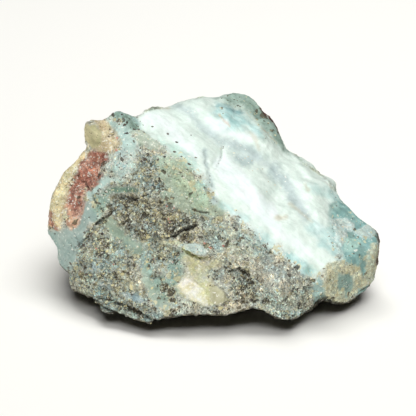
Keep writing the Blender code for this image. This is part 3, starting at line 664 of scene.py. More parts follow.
PALE_FLECKS = flecks(
    (97.7, 214.1, 0.4, 0.32, 0), (147.9, 210.7, 0.5, 0.3, 150), (108.9, 283.0, 0.42, 0.34, 0),
    (115.7, 285.5, 0.4, 0.26, 40), (107.0, 250.0, 0.46, 0.32, 0), (137.5, 246.4, 0.36, 0.26, 20),
    (245.0, 158.3, 0.3, 0.22, 0), (248.0, 156.7, 0.24, 0.2, 0), (251.7, 160.8, 0.3, 0.2, 40),
    (252.5, 170.8, 0.24, 0.2, 0), (262.5, 169.0, 0.28, 0.2, 20), (268.3, 181.7, 0.26, 0.2, 0),
    (275.0, 185.0, 0.3, 0.22, 60), (257.5, 169.0, 0.26, 0.18, 0), (234.0, 153.0, 0.4, 0.24, 10),
    (266.7, 191.7, 0.26, 0.2, 0), (220.8, 148.3, 0.24, 0.18, 0), (149.0, 165.4, 0.42, 0.22, 80),
    (192.2, 198.6, 0.36, 0.22, 70), (175.0, 275.5, 0.3, 0.24, 0),
)
YELLOW_FLECKS = flecks(
    (147.4, 236.9, 0.6, 0.5, 90), (122.6, 274.4, 0.62, 0.5, 30), (131.2, 287.3, 0.8, 0.42, 100),
    (90.5, 275.0, 0.6, 0.36, 10), (107.0, 251.0, 0.5, 0.4, 60), (112.5, 285.0, 0.5, 0.3, 20),
    (220.5, 308.0, 0.7, 0.5, 20), (125.0, 306.0, 0.5, 0.34, 0), (152.0, 288.0, 0.44, 0.3, 40),
    (147.0, 262.0, 0.4, 0.32, 0),
)
RED_FLECKS = flecks(
    (96.0, 248.5, 0.32, 0.24, 0), (166.8, 206.4, 0.32, 0.24, 0), (173.7, 208.0, 0.26, 0.2, 0),
    (168.5, 218.8, 0.34, 0.22, 90), (169.6, 222.5, 0.26, 0.2, 0), (205.0, 243.5, 0.5, 0.26, 160),
    (210.0, 247.5, 0.52, 0.24, 150), (223.6, 246.0, 0.4, 0.26, 150), (117.0, 138.0, 0.4, 0.32, 0),
    (116.0, 150.0, 0.42, 0.34, 0), (154.0, 259.0, 0.3, 0.2, 90),
)


@dataclass(frozen=True)
class Blob:
    """A part of the ground that the viewer doesn't see, round a place, and its mineral."""

    mineral: Mineral
    centre: Place
    radius: float
    strength: float = 1.0


# The guessed minerals of the sides that the photograph doesn't show.
BLOBS = {
    "back_crust": Blob(GREY_CRUST, (5.0, 24.0, 26.0), 16.0, 0.8),
    "back_teal": Blob(TEAL, (22.0, 14.0, 12.0), 11.0, 0.8),
    "back_dark": Blob(SPECKLED, (-12.0, 22.0, 14.0), 12.0),
    "back_moss": Blob(MOSS_GREEN_AND_SHADE, (2.0, 22.0, 6.0), 8.0, 0.6),
    "left_cream": Blob(CREAM_BAND, (-36.0, 6.0, 24.0), 8.0, 0.8),
    "left_rust": Blob(PALE_RUST, (-36.0, 8.0, 14.0), 6.0, 0.8),
    "left_back_blue": Blob(BLUE_FACE, (-32.0, 14.0, 12.0), 8.0, 0.7),
    "back_rust": Blob(PALE_RUST, (-24.0, 16.0, 28.0), 5.0, 0.7),
    "right_back_crust": Blob(TAN_CRUST, (36.0, 0.0, 10.0), 6.0, 0.7),
    "back_sky": Blob(SKY, (10.0, 18.0, 34.0), 8.0, 0.6),
}


@dataclass(frozen=True)
class Flats:
    """One size of broken flats. Each leans its own way. height is a share of how high the crumbs stand."""

    size: float
    height: float
    seed: float


FLATS = (Flats(3.4, 1.5, 3.1), Flats(1.7, 1.3, 5.7), Flats(0.95, 1.0, 9.3))
# How finely and how far the flats' places are bent, as shares of their size.
FLAT_BEND_SCALE, FLAT_BEND = 0.7, 0.35

# The pale vein's lower face: where it passes, how it faces, and how far it fades and wanders, in mm.
VEIN_PLACE = np.array((0.47, -11.51, 26.0))
VEIN_FACING = np.array(Vector((0.5, -0.15, 0.85)).normalized())
VEIN_FADE, VEIN_RAGGED = 1.5, 2.0

# How squarely a point faces the eye where it stops being seen, and where it is seen in full.
SEEN = (-0.45, -0.08)
# The sizes at which all edges wander, in mm, each with its share.
WANDERS = ((5.0, 0.9), (1.9, 0.6), (0.8, 0.45))
# How far a blob's edge wanders, and where it starts to fade, as shares of its radius.
BLOB_RAGGED, BLOB_CORE = 0.4, 0.6
# How far crevices and plates wander, in spots, and the darkest part of a crevice as a share of its width.
CUT_RAGGED, PLATE_RAGGED, CUT_CORE = 0.8, 1.5, 0.4
# How far a face looks down, and how low it lies in mm, where the painted underside shade starts and where it
# is full.
UNDERSIDE_SHADE_FACING, UNDERSIDE_SHADE_HEIGHT = (-0.12, -0.5), (9.0, 4.0)


def read_rows(items: bpy_prop_collection, what: str) -> np.ndarray:
    """Reads three numbers of each point or normal.

    Args:
        items: A mesh's points or normals.
        what: Which of their values is read.

    Returns:
        The numbers, one point to a row.
    """
    values = np.zeros(len(items) * 3)
    items.foreach_get(what, values)
    return values.reshape(-1, 3)


def move_points(mesh: Mesh, places: np.ndarray) -> None:
    """Moves each point of a mesh to its place, in metres."""
    mesh.vertices.foreach_set("co", places.ravel())
    mesh.update()


class Ground:
    """The surface of the stone as numbers: where each point is, how it is seen, and what it is made of."""

    def __init__(self, mesh: Mesh, view: Viewpoint) -> None:
        """Reads the points of the mesh.

        Args:
            mesh: The stone's mesh, before its fine relief.
            view: Where the stone is seen from.
        """
        self.places = read_rows(mesh.vertices, "co") / MM
        self.normals = read_rows(mesh.vertex_normals, "vector")
        self.spots = view.spots_of(self.places)
        to_eye = np.array(view.eye()) - self.places
        to_eye /= np.linalg.norm(to_eye, axis=1, keepdims=True)
        self.seen = smooth(*SEEN, (self.normals * to_eye).sum(axis=1))
        self.wander = self.wandering()
        names = [item.name for item in fields(Mineral)]
        count = len(self.places)
        self.layers = {name: np.zeros((count, 3) if name in ("tone", "second") else count) for name in names}

    def wandering(self) -> np.ndarray:
        """How far edges wander at each point, about -1 to 1.

        Returns:
            A number for each point.
        """
        total = np.zeros(len(self.places))
        for size, share in WANDERS:
            total += share * np.array([noise.noise(Vector(place) / size) for place in self.places])
        return total

    def lay(self, mineral: Mineral, share: np.ndarray) -> None:
        """Puts a mineral over what is there.

        Args:
            mineral: What is laid on.
            share: How much of it covers each point.
        """
        for name, layer in self.layers.items():
            value = getattr(mineral, name, None)
            if isinstance(value, tuple):
                layer += (np.array(linear(value)) - layer) * share[:, None]
            elif value is not None:
                layer += (value - layer) * share

    def distance(self, spots: Sequence[Spot], closed: bool) -> np.ndarray:
        """How far each point is seen from a line or an outline, in spots, and negative inside an outline.

        Args:
            spots: The corners of the line or of the outline.
            closed: Whether it is an outline.

        Returns:
            A distance for each point.
        """
        line = np.array(spots, dtype=float)
        if closed:
            line = np.vstack((line, line[:1]))
        nearest = np.full(len(self.spots), np.inf)
        inside = np.zeros(len(self.spots), dtype=bool)
        across, down = self.spots[:, 0], self.spots[:, 1]
        for start, end in zip(line, line[1:]):
            run = end - start
            share = np.clip((self.spots - start) @ run / (run @ run), 0.0, 1.0)
            off = self.spots - (start + share[:, None] * run)
            nearest = np.minimum(nearest, np.hypot(off[:, 0], off[:, 1]))
            if closed and start[1] != end[1]:
                between = (down < start[1]) != (down < end[1])
                crossing = start[0] + (down - start[1]) * run[0] / run[1]
                inside ^= between & (across < crossing)
        return np.where(inside, -nearest, nearest)

    def share_of(self, zone: Zone) -> np.ndarray:
        """How much of a zone covers each point."""
        away = self.distance(zone.spots, zone.shape is Shape.AREA) - zone.spread + self.wander * zone.ragged
        return smooth(zone.soft / 2.0, -zone.soft / 2.0, away) * self.seen * zone.strength

    def share_of_blob(self, blob: Blob) -> np.ndarray:
        """How much of a blob covers each point.

        Args:
            blob: The blob.

        Returns:
            A share for each point, 0 to 1.
        """
        away = np.linalg.norm(self.places - np.array(blob.centre), axis=1)
        away += self.wander * blob.radius * BLOB_RAGGED
        return smooth(blob.radius, blob.radius * BLOB_CORE, away) * (1.0 - self.seen) * blob.strength

    def paint(self) -> None:
        """Lays all minerals, from the broadest to the smallest."""
        self.lay(MATRIX, np.ones(len(self.places)))
        above = (self.places - VEIN_PLACE) @ VEIN_FACING
        self.lay(VEIN, smooth(-VEIN_FADE, VEIN_FADE, above + self.wander * VEIN_RAGGED) * (1.0 - self.seen))
        for blob in BLOBS.values():
            self.lay(blob.mineral, self.share_of_blob(blob))
        for zone in ZONES.values():
            self.lay(zone.mineral, self.share_of(zone))
        # Painted shade: low faces that look down, under the stone, are darkened.
        downward = smooth(*UNDERSIDE_SHADE_FACING, self.normals[:, 2])
        self.lay(UNDERSIDE_SHADE, downward * smooth(*UNDERSIDE_SHADE_HEIGHT, self.places[:, 2]))

    def broken(self, flats: Flats) -> np.ndarray:
        """How high each point stands on a surface broken into flats of this size, about -0.5 to 0.5.

        Args:
            flats: The size of the flats.

        Returns:
            A height for each point.
        """
        heights = np.zeros(len(self.places))
        for index, place in enumerate(self.places.tolist()):
            spot = Vector(place) / flats.size
            spot += noise.noise_vector(spot * FLAT_BEND_SCALE) * FLAT_BEND
            centre = noise.voronoi(spot)[1][0]
            lean = noise.noise_vector(centre * flats.seed)
            heights[index] = (spot - centre).dot(lean) + lean.x / 2.0
        return heights

    def relief(self) -> np.ndarray:
        """How far broken flats and the named crevices and plates lift each point, in millimetres.

        Returns:
            A height for each point.
        """
        height = sum(self.broken(flats) * flats.height for flats in FLATS) * self.layers["crumb"]
        for cut in CUTS.values():
            away = self.distance(cut.spots, False) + self.wander * CUT_RAGGED
            height -= cut.depth * (smooth(cut.half_width, 0.0, away) * self.seen)
            # Painted shade: the middle of each crevice is darkened.
            core = smooth(cut.half_width, cut.half_width * CUT_CORE, away) * self.seen
            self.lay(SHADOW_LINE, core * cut.dark)
        for name, plate in PLATES.items():
            away = self.distance(ZONES[name].spots, True) + self.wander * PLATE_RAGGED
            height += plate.height * smooth(plate.edge / 2.0, -plate.edge / 2.0, away) * self.seen
        return height


def bulges(mesh: Mesh, rounds: int) -> np.ndarray:
    """Measures how far each point stands above the ground round it.

    Args:
        mesh: The stone's mesh.
        rounds: How often the ground is evened out before it is measured.

    Returns:
        Millimetres, negative in a hollow.
    """
    count = len(mesh.vertices)
    places, normals = read_rows(mesh.vertices, "co") / MM, read_rows(mesh.vertex_normals, "vector")
    edges = np.zeros(len(mesh.edges) * 2, dtype=int)
    mesh.edges.foreach_get("vertices", edges)
    near, far = edges[0::2], edges[1::2]
    degree = np.bincount(edges, minlength=count)[:, None]
    even = places
    for _ in range(rounds):
        totals = [np.bincount(near, row[far], count) + np.bincount(far, row[near], count) for row in even.T]
        even = (even + np.stack(totals, axis=1) / degree) / 2.0
    return ((places - even) * normals).sum(axis=1)


@dataclass(frozen=True)
class Crumble:
    """One size of broken relief, made by a displacing texture."""

    name: str
    basis: str
    size: float
    depth: int
    strength: float
    middle: float

    def put_on(self, stone: Object, group: str) -> None:
        """Displaces the stone with this relief.

        Args:
            stone: The stone.
            group: The vertex group that says how much of it each point gets.
        """
        texture = bpy.data.textures.new(self.name, "CLOUDS")
        texture.noise_basis = self.basis
        texture.noise_scale = self.size * MM
        texture.noise_depth = self.depth
        modifier = stone.modifiers.new(self.name, "DISPLACE")
        modifier.texture = texture
        modifier.texture_coords = "LOCAL"
        modifier.strength = self.strength * MM
        modifier.mid_level = self.middle
        modifier.vertex_group = group
        bpy.ops.object.modifier_apply(modifier=modifier.name)
        bpy.data.textures.remove(texture)


@dataclass
class NodeKit:
    """Adds nodes to a material or to a group, and links them."""

    tree: NodeTree

    def add(self, kind: str, **settings: object) -> Node:
        """Adds one node.

        Args:
            kind: The node's type, without ShaderNode in front.
            **settings: The node's own settings.

        Returns:
            The new node.
        """
        node = self.tree.nodes.new(f"ShaderNode{kind}")
        for name, value in settings.items():
            setattr(node, name, value)
        return node

    def feed(self, socket: NodeSocket, value: object) -> None:
        """Links a socket to another, or gives it a number.

        Args:
            socket: The socket that is fed.
            value: Another socket, a number or a colour.
        """
        if isinstance(value, NodeSocket):
            self.tree.links.new(value, socket)
        else:
            socket.default_value = value

    def place(self, node: Node, **values: object) -> Node:
        """Feeds a node's inputs by their names, where an underscore stands for a space.

        Args:
            node: The node.
            **values: What each input gets.

        Returns:
            The node.
        """
        for name, value in values.items():
            self.feed(node.inputs[name.replace("_", " ")], value)
        return node

    def maths(self, operation: str, *values: object, clamp: bool = False) -> NodeSocket:
        """Adds a Math node.

        Args:
            operation: What the node works out.
            *values: What goes in.
            clamp: Whether the result is kept within 0 and 1.

        Returns:
            The result.
        """
        node = self.add("Math", operation=operation, use_clamp=clamp)
        for socket, value in zip(node.inputs, values):
            self.feed(socket, value)
        return node.outputs[0]

    def blend(self, share: object, below: object, above: object, mode: str = "MIX") -> NodeSocket:
        """Mixes two colours.

        Args:
            share: How much of the upper colour shows.
            below: The lower colour.
            above: The upper colour.
            mode: How they are mixed.

        Returns:
            The mixed colour.
        """
        node = self.add("Mix", data_type="RGBA", blend_type=mode)
        for index, value in ((0, share), (6, below), (7, above)):
            self.feed(node.inputs[index], value)
        return node.outputs[2]

    def times(self, colour: object, factor: object) -> NodeSocket:
        """Multiplies a colour by another one, or by a number."""
        return self.blend(1.0, colour, factor, "MULTIPLY")

    def attribute(self, name: str, output: str = "Fac") -> NodeSocket:
        """Reads one of the piece's own attributes."""
        return self.add("Attribute", attribute_name=name).outputs[output]

    def ramp(self, value: object, low: float, high: float) -> NodeSocket:
        """0 at low, 1 at high, and an S-curve between."""
        node = self.add("MapRange", interpolation_type="SMOOTHSTEP")
        return self.place(node, Value=value, From_Min=low, From_Max=high).outputs["Result"]

    def cloud(self, place: object, scale: object, detail: float = 3.0, rough: float = 0.55) -> NodeSocket:
        """Adds soft noise and returns its value."""
        node = self.place(self.add("TexNoise"), Vector=place, Scale=scale, Detail=detail, Roughness=rough)
        return node.outputs["Fac"]

    def bent(self, place: object, scale: float, reach: float) -> NodeSocket:
        """Shifts places by soft noise.

        Args:
            place: The places.
            scale: How fine the noise is.
            reach: How far they are shifted at most, in millimetres.

        Returns:
            The shifted places.
        """
        shift = self.place(self.add("TexNoise"), Vector=place, Scale=scale)
        moved = self.add("VectorMath", operation="MULTIPLY_ADD")
        for socket, value in zip(moved.inputs, (shift.outputs["Color"], (reach * MM,) * 3, place)):
            self.feed(socket, value)
        return moved.outputs[0]

    def bump(self, height: object, reach: float) -> NodeSocket:
        """Turns a height into a normal. reach is how high a height of 1 stands, in millimetres."""
        return self.place(self.add("Bump"), Height=height, Distance=reach * MM).outputs["Normal"]


def new_finish(name: str) -> tuple[Material, NodeKit, Node]:
    """Makes a material.

    Args:
        name: The material's name.

    Returns:
        The material, what adds nodes to it, and its shader.
    """
    finish = bpy.data.materials.new(name)
    finish.use_nodes = True
    return finish, NodeKit(finish.node_tree), finish.node_tree.nodes["Principled BSDF"]


def new_group(name: str, inputs: Sequence[tuple[str, str]], outputs: Sequence[tuple[str, str]]) -> NodeTree:
    """Makes an empty shader node group.

    Args:
        name: The group's name.
        inputs: The name and the socket type of each input.
        outputs: The name and the socket type of each output.

    Returns:
        The group, with its Group Input and Group Output nodes.
    """
    group = bpy.data.node_groups.new(name, "ShaderNodeTree")
    for label, kind in inputs:
        group.interface.new_socket(label, in_out="INPUT", socket_type=kind)
    for label, kind in outputs:
        group.interface.new_socket(label, in_out="OUTPUT", socket_type=kind)
    group.nodes.new("NodeGroupInput")
    group.nodes.new("NodeGroupOutput")
    return group


FLOAT, VECTOR = "NodeSocketFloat", "NodeSocketVector"

# The distance from a grain's rim where the gap beside it starts, and where it is full, as shares of a grain.
# The gaps are darkened with painted shade and sunk in the bump.
GRAIN_GAP = (0.13, 0.02)
# How finely and how far fibres are bent, how they are turned, and how they are stretched.
FIBRE_BEND_SCALE, FIBRE_BEND = 120.0, 4.0
FIBRE_TURN, FIBRE_STRETCH = (0.5, 0.55, -0.55), (7.0, 1.0, 1.0)


def grains_group() -> NodeTree:
    """Angular grains of one size, which touch. Some are dark, warm or pale, and gaps part them.

    Returns:
        The node group.
    """
    inputs = [("Vector", VECTOR)] + [(name, FLOAT) for name in ("Scale", "Dark", "Warm", "Pale")]
    outputs = [(name, FLOAT) for name in ("Dark", "Warm", "Pale", "Shade", "Tint", "Gap")]
    group = new_group("mineral grains", inputs, outputs)
    kit = NodeKit(group)
    source, sink = group.nodes["Group Input"].outputs, group.nodes["Group Output"]
    cells, rims = (kit.add("TexVoronoi", feature=feature) for feature in ("F1", "DISTANCE_TO_EDGE"))
    for node in (cells, rims):
        kit.place(node, Vector=source["Vector"], Scale=source["Scale"])
    split = kit.add("SeparateColor")
    kit.feed(split.inputs[0], cells.outputs["Color"])
    pick, shade, tint = split.outputs
    dark = kit.maths("LESS_THAN", pick, source["Dark"])
    dark_or_warm = kit.maths("LESS_THAN", pick, kit.maths("ADD", source["Dark"], source["Warm"]))
    pale = kit.maths("GREATER_THAN", pick, kit.maths("SUBTRACT", 1.0, source["Pale"]))
    warm, gap = kit.maths("SUBTRACT", dark_or_warm, dark), kit.ramp(rims.outputs["Distance"], *GRAIN_GAP)
    kit.place(sink, Dark=dark, Warm=warm, Pale=pale, Shade=shade, Tint=tint, Gap=gap)
    return group


def streaks_group() -> NodeTree:
    """Fine streaks, as broken fibres show.

    Returns:
        The node group.
    """
    group = new_group("mineral fibres", (("Vector", VECTOR), ("Scale", FLOAT)), (("Value", FLOAT),))
    kit = NodeKit(group)
    source, sink = group.nodes["Group Input"].outputs, group.nodes["Group Output"]
    bent = kit.bent(source["Vector"], FIBRE_BEND_SCALE, FIBRE_BEND)
    turned = kit.add("Mapping", vector_type="TEXTURE")
    kit.place(turned, Vector=bent, Rotation=FIBRE_TURN, Scale=FIBRE_STRETCH)
    kit.place(sink, Value=kit.cloud(turned.outputs[0], source["Scale"], 4.0, 0.6))
    return group


@dataclass(frozen=True)
class GrainSize:
    """One size of grains in the finish.

    per_metre is how many fit in a metre, dark, warm and pale scale the mineral's own shares, contrast is how
    much the grains differ in shade, and gap how much painted shade darkens the gaps between them.
    """

    per_metre: float
    dark: float
    warm: float
    pale: float
    contrast: float
    gap: float


@dataclass(frozen=True)
class Patches:
    """Soft patches: how many fit in a metre, and the noise at which they start and are full."""

    per_metre: float
    detail: float
    rough: float
    start: float
    full: float

    def make(self, kit: NodeKit, place: NodeSocket) -> NodeSocket:
        """How far each place lies in a patch, 0 to 1."""
        return kit.ramp(kit.cloud(place, self.per_metre, self.detail, self.rough), self.start, self.full)


@dataclass
class StoneFinish:
    """The one material of the stone: it reads what each point is made of, and adds grains, fibres and gloss,
    with painted shade in hollows and painted highlights on crests.

    A cover is how much a grain hides of what is under it. gritty is the crumb at which grains start to show
    and at which they show in full. A height is a share of bump_height, which is in millimetres.
    """

    dark_grain: tuple[Rgb, Rgb] = ((54, 45, 32), (100, 92, 70))
    warm_grain: tuple[Rgb, Rgb] = ((228, 222, 182), (198, 190, 146))
    pale_grain: tuple[Rgb, Rgb] = ((242, 242, 230), (242, 242, 230))
    dark_cover: float = 0.85
    warm_cover: float = 0.7
    pale_cover: float = 0.65
    grain_tint: tuple[Place, Place] = ((0.95, 1.0, 1.02), (1.05, 1.0, 0.93))
    patch_tint: tuple[Place, Place] = ((0.85, 1.02, 0.99), (1.08, 1.01, 0.82))
    sizes: tuple[GrainSize, ...] = (
        GrainSize(620.0, 0.2, 0.3, 0.0, 1.7, 0.1),
        GrainSize(1250.0, 0.5, 0.5, 0.1, 1.9, 0.35),
        GrainSize(2500.0, 0.4, 0.4, 0.6, 2.0, 0.4),
        GrainSize(4300.0, 0.3, 0.3, 0.4, 1.5, 0.3),
    )
    mottle: Patches = Patches(380.0, 6.0, 0.68, 0.36, 0.64)
    patches: Patches = Patches(230.0, 6.0, 0.68, 0.38, 0.62)
    clumps: Patches = Patches(260.0, 4.0, 0.62, 0.38, 0.62)
    clump_contrast: float = 1.7
    fewest_dark: float = 0.1
    gritty: tuple[float, float] = (0.05, 0.36)
    fibre_per_metre: float = 900.0
    fibre_contrast: float = 1.7
    fibre_height: float = 0.5
    grain_height: float = 0.8
    fine_per_metre: float = 2200.0
    fine_height: float = 0.3
    gritty_height: float = 0.8
    jag_per_metre: float = 1500.0
    jag: float = 0.7
    hollow_shade: float = 0.42
    crest_light: float = 0.22
    gloss_per_metre: float = 1400.0
    gloss_swing: float = 0.34
    specular: float = 0.4
    bump_height: float = 0.24

    def streaked(self, kit: NodeKit, colour: NodeSocket, fibres: NodeSocket) -> NodeSocket:
        """Lays fibres over a colour where the mineral has them."""
        light = kit.maths("MULTIPLY_ADD", kit.maths("SUBTRACT", fibres, 0.5), self.fibre_contrast, 1.0)
        return kit.blend(kit.attribute("fibre"), colour, kit.times(colour, light))

    def grained(self, kit: NodeKit, colour: NodeSocket, grains: Node, size: GrainSize,
                grit: NodeSocket) -> NodeSocket:
        """Lays one size of grains over a colour.

        Args:
            kit: Adds the nodes.
            colour: The colour so far.
            grains: The node with these grains.
            size: Their size.
            grit: How gritty the ground is.

        Returns:
            The colour with the grains.
        """
        out = grains.outputs
        shade = kit.maths("POWER", size.contrast, kit.maths("SUBTRACT", out["Shade"], 0.5))
        # Painted shade: the gaps between grains are darkened.
        shade = kit.maths("MULTIPLY", shade, kit.maths("MULTIPLY_ADD", out["Gap"], -size.gap, 1.0))
        cool, warm = ((*tint, 1.0) for tint in self.grain_tint)
        mosaic = kit.times(kit.times(colour, shade), kit.blend(out["Tint"], cool, warm))
        colour = kit.blend(grit, colour, mosaic)
        for kind, tones, cover in (("Warm", self.warm_grain, self.warm_cover),
                                   ("Dark", self.dark_grain, self.dark_cover),
                                   ("Pale", self.pale_grain, self.pale_cover)):
            grain = kit.blend(out["Tint"], opaque(tones[0]), opaque(tones[1]))
            colour = kit.blend(kit.maths("MULTIPLY", out[kind], cover), colour, grain)
        return colour

    def make(self) -> Material:
        """Builds the material.

        Returns:
            The material.
        """
        finish, kit, shader = new_finish("rough larimar")
        place = kit.add("TexCoord").outputs["Object"]
        streaks = kit.add("Group", node_tree=streaks_group())
        kit.place(streaks, Vector=place, Scale=self.fibre_per_metre)
        fibres, grains = streaks.outputs["Value"], grains_group()
        grit = kit.ramp(kit.attribute("crumb"), *self.gritty)

        colour = kit.blend(self.mottle.make(kit, place), kit.attribute("tone", "Color"),
                           kit.attribute("second", "Color"))
        colour = self.streaked(kit, colour, fibres)
        cool, warm = ((*tint, 1.0) for tint in self.patch_tint)
        patched = kit.times(colour, kit.blend(self.patches.make(kit, place), cool, warm))
        colour = kit.blend(grit, colour, patched)

        jagged = kit.bent(place, self.jag_per_metre, self.jag)
        clumps = self.clumps.make(kit, place)
        dark = kit.maths("MULTIPLY_ADD", clumps, self.clump_contrast, self.fewest_dark)
        shares = {"Dark": kit.maths("MULTIPLY", kit.attribute("dark"), dark),
                  "Warm": kit.attribute("warm"),
                  "Pale": kit.attribute("pale")}
        relief = kit.maths("MULTIPLY", fibres, kit.attribute("fibre"))
        relief = kit.maths("MULTIPLY", relief, self.fibre_height)
        for size in self.sizes:
            scales = {"Dark": size.dark, "Warm": size.warm, "Pale": size.pale}
            own = {kind: kit.maths("MULTIPLY", shares[kind], scale) for kind, scale in scales.items()}
            node = kit.place(kit.add("Group", node_tree=grains), Vector=jagged, Scale=size.per_metre, **own)
            colour = self.grained(kit, colour, node, size, grit)
            step = kit.maths("MULTIPLY", node.outputs["Shade"], self.grain_height)
            step = kit.maths("MULTIPLY", kit.maths("SUBTRACT", step, node.outputs["Gap"]), grit)
            relief = kit.maths("MULTIPLY_ADD", step, self.sizes[0].per_metre / size.per_metre, relief)
        # Painted shade darkens the hollows, and a painted highlight turns the crests pale.
        hollow = kit.maths("MULTIPLY_ADD", kit.attribute("hollow"), -self.hollow_shade, 1.0)
        crest = kit.maths("MULTIPLY", kit.attribute("crest"), self.crest_light)
        shaded = kit.blend(crest, kit.times(colour, hollow), opaque(self.pale_grain[0]))

        swing = kit.maths("MULTIPLY_ADD", kit.cloud(place, self.gloss_per_metre), self.gloss_swing,
                          -self.gloss_swing / 2.0)
        fine = kit.maths("MULTIPLY_ADD", grit, self.gritty_height, self.fine_height)
        relief = kit.maths("MULTIPLY_ADD", kit.cloud(jagged, self.fine_per_metre, 4.0, 0.7), fine, relief)
        kit.place(shader, Base_Color=kit.blend(grit, colour, shaded),
                  Roughness=kit.maths("ADD", kit.attribute("dull"), swing, clamp=True),
                  Normal=kit.bump(relief, self.bump_height), Specular_IOR_Level=self.specular)
        return finish


@dataclass(frozen=True)
class GrainFinish:
    """The material of one kind of grains, whose shade differs from grain to grain and within each.

    A swing is how far a value goes up and down in all, and bump_height is in millimetres.
    """

    name: str
    colour: Rgb
    second: Rgb
    roughness: float
    cloud_per_metre: float = 1800.0
    shade_swing: float = 0.6
    gloss_swing: float = 0.3
    bump_per_metre: float = 3000.0
    bump_height: float = 0.1

    def make(self) -> Material:
        """Builds the material.

        Returns:
            The material.
        """
        finish, kit, shader = new_finish(self.name)
        place = kit.add("TexCoord").outputs["Object"]
        cloud = kit.cloud(place, self.cloud_per_metre)
        shade = kit.maths("MULTIPLY_ADD", cloud, self.shade_swing, -self.shade_swing / 2.0)
        share = kit.maths("ADD", kit.attribute("shade"), shade, clamp=True)
        gloss = kit.maths("MULTIPLY_ADD", cloud, self.gloss_swing, self.roughness - self.gloss_swing / 2.0)
        normal = kit.bump(kit.cloud(place, self.bump_per_metre, 2.0), self.bump_height)
        colour = kit.blend(share, opaque(self.colour), opaque(self.second))
        kit.place(shader, Base_Color=colour, Roughness=gloss, Normal=normal)
        return finish


# How far a crystal's corners are moved, and how evenly.
CORNER_SHIFT, CORNER_EVENNESS = 0.22, 0.6
# The crumb, and the height in mm, at which crystals start to be strewn and at which they are strewn in full.
STREWN_CRUMB, STREWN_HEIGHT = (0.2, 0.32), (0.8, 2.0)
# How few of the strewn crystals are large, and how far they are squeezed and stretched.
FEW_LARGE, STRETCH = 2.2, (0.55, 1.25)
# How deep a named fleck's middle lies, as a share of its height.
FLECK_SUNK = 0.4


@dataclass(frozen=True)
class Grains:
    """Many small crystals of one kind, set in the stone where its minerals have them.

    count is how many are strewn. layer says where, from what each point is made of. smallest and largest are
    half their width, and sunk is how deep their middle lies, as a share of that. seed picks the places.
    """

    name: str
    finish: GrainFinish
    flecks: tuple[Fleck, ...]
    layer: str
    count: int
    smallest: float
    largest: float
    sunk: float
    seed: int
    fleck_scale: float = 1.0

    def model_one(self) -> tuple[np.ndarray, np.ndarray]:
        """Models one broken crystal and takes its points and faces.

        Returns:
            The crystal's points and its faces.
        """
        bpy.ops.mesh.primitive_ico_sphere_add(subdivisions=1, radius=1.0)
        crystal = rename(f"{self.name} crystal")
        bpy.ops.object.mode_set(mode="EDIT")
        bpy.ops.transform.vertex_random(offset=CORNER_SHIFT, uniform=CORNER_EVENNESS, seed=self.seed)
        bpy.ops.object.mode_set(mode="OBJECT")
        mesh = crystal.data
        points = read_rows(mesh.vertices, "co")
        faces = np.array([tuple(face.vertices) for face in mesh.polygons])
        bpy.data.objects.remove(crystal)
        bpy.data.meshes.remove(mesh)
        return points, faces

    def strewn(self, stone: Object, ground: Ground, draw: np.random.Generator) -> list[Matrix]:
        """Picks where the crystals lie and how each is turned and stretched.

        Args:
            stone: The stone.
            ground: What its points are made of.
            draw: Where the random numbers come from.

        Returns:
            A matrix for each crystal.
        """
        chance = ground.layers[self.layer] * smooth(*STREWN_CRUMB, ground.layers["crumb"])
        chance = chance * smooth(*STREWN_HEIGHT, ground.places[:, 2])
        picked = draw.choice(len(chance), self.count, replace=False, p=chance / chance.sum())
        turns = draw.normal(size=(self.count, 4))
        sizes = self.smallest + (self.largest - self.smallest) * draw.random(self.count) ** FEW_LARGE
        stretches = draw.uniform(*STRETCH, (self.count, 3))
        placed = []
        for index, turn, size, stretch in zip(picked.tolist(), turns, sizes, stretches):
            vertex = stone.data.vertices[index]
            middle = vertex.co - vertex.normal * size * self.sunk * MM
            facing = Quaternion(turn).normalized()
            placed.append(Matrix.LocRotScale(middle, facing, Vector(stretch * size * MM)))
        return placed

    def named(self, stone: Object, view: Viewpoint) -> list[Matrix]:
        """Finds where the named flecks lie on the stone.

        Args:
            stone: The stone.
            view: Where the stone is seen from.

        Returns:
            A matrix for each fleck.
        """
        placed = []
        for fleck in self.flecks:
            hit, middle, normal, _ = stone.ray_cast(view.eye() * MM, view.ray(fleck.spot))
            if not hit:
                LOG.warning("%s: no ground at %s", self.name, fleck.spot)
                continue
            lean = normal.to_track_quat("Z", "X")
            across = lean.inverted() @ Vector((1.0, 0.0, 0.0))
            spin = Quaternion((0.0, 0.0, 1.0), math.atan2(across.y, across.x) + math.radians(fleck.turn))
            thin = min(fleck.length, fleck.width)
            size = Vector((fleck.length, fleck.width, thin)) * self.fleck_scale * MM
            placed.append(Matrix.LocRotScale(middle - normal * size.z * FLECK_SUNK, lean @ spin, size))
        return placed

    def make(self, stone: Object, ground: Ground, view: Viewpoint) -> Object:
        """Builds the grains as one piece.

        Args:
            stone: The finished stone.
            ground: What its points are made of.
            view: Where it is seen from.

        Returns:
            The piece.
        """
        draw = np.random.default_rng(self.seed)
        points, faces = self.model_one()
        placed = self.named(stone, view) + self.strewn(stone, ground, draw)
        own = np.concatenate((points, np.ones((len(points), 1))), axis=1)
        places = np.concatenate([own @ np.array(matrix).T[:, :3] for matrix in placed])
        corners = np.concatenate([faces + index * len(points) for index in range(len(placed))])
        mesh = bpy.data.meshes.new(self.name)
        mesh.from_pydata(places.tolist(), [], corners.tolist())
        shades = np.repeat(draw.random(len(placed)), len(points)).astype(np.float32)
        mesh.attributes.new("shade", "FLOAT", "POINT").data.foreach_set("value", shades)
        piece = bpy.data.objects.new(self.name, mesh)
        bpy.context.scene.collection.objects.link(piece)
        piece.data.materials.append(self.finish.make())
        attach(piece, "root")
        LOG.info("%s: %d crystals", self.name, len(placed))
        return piece


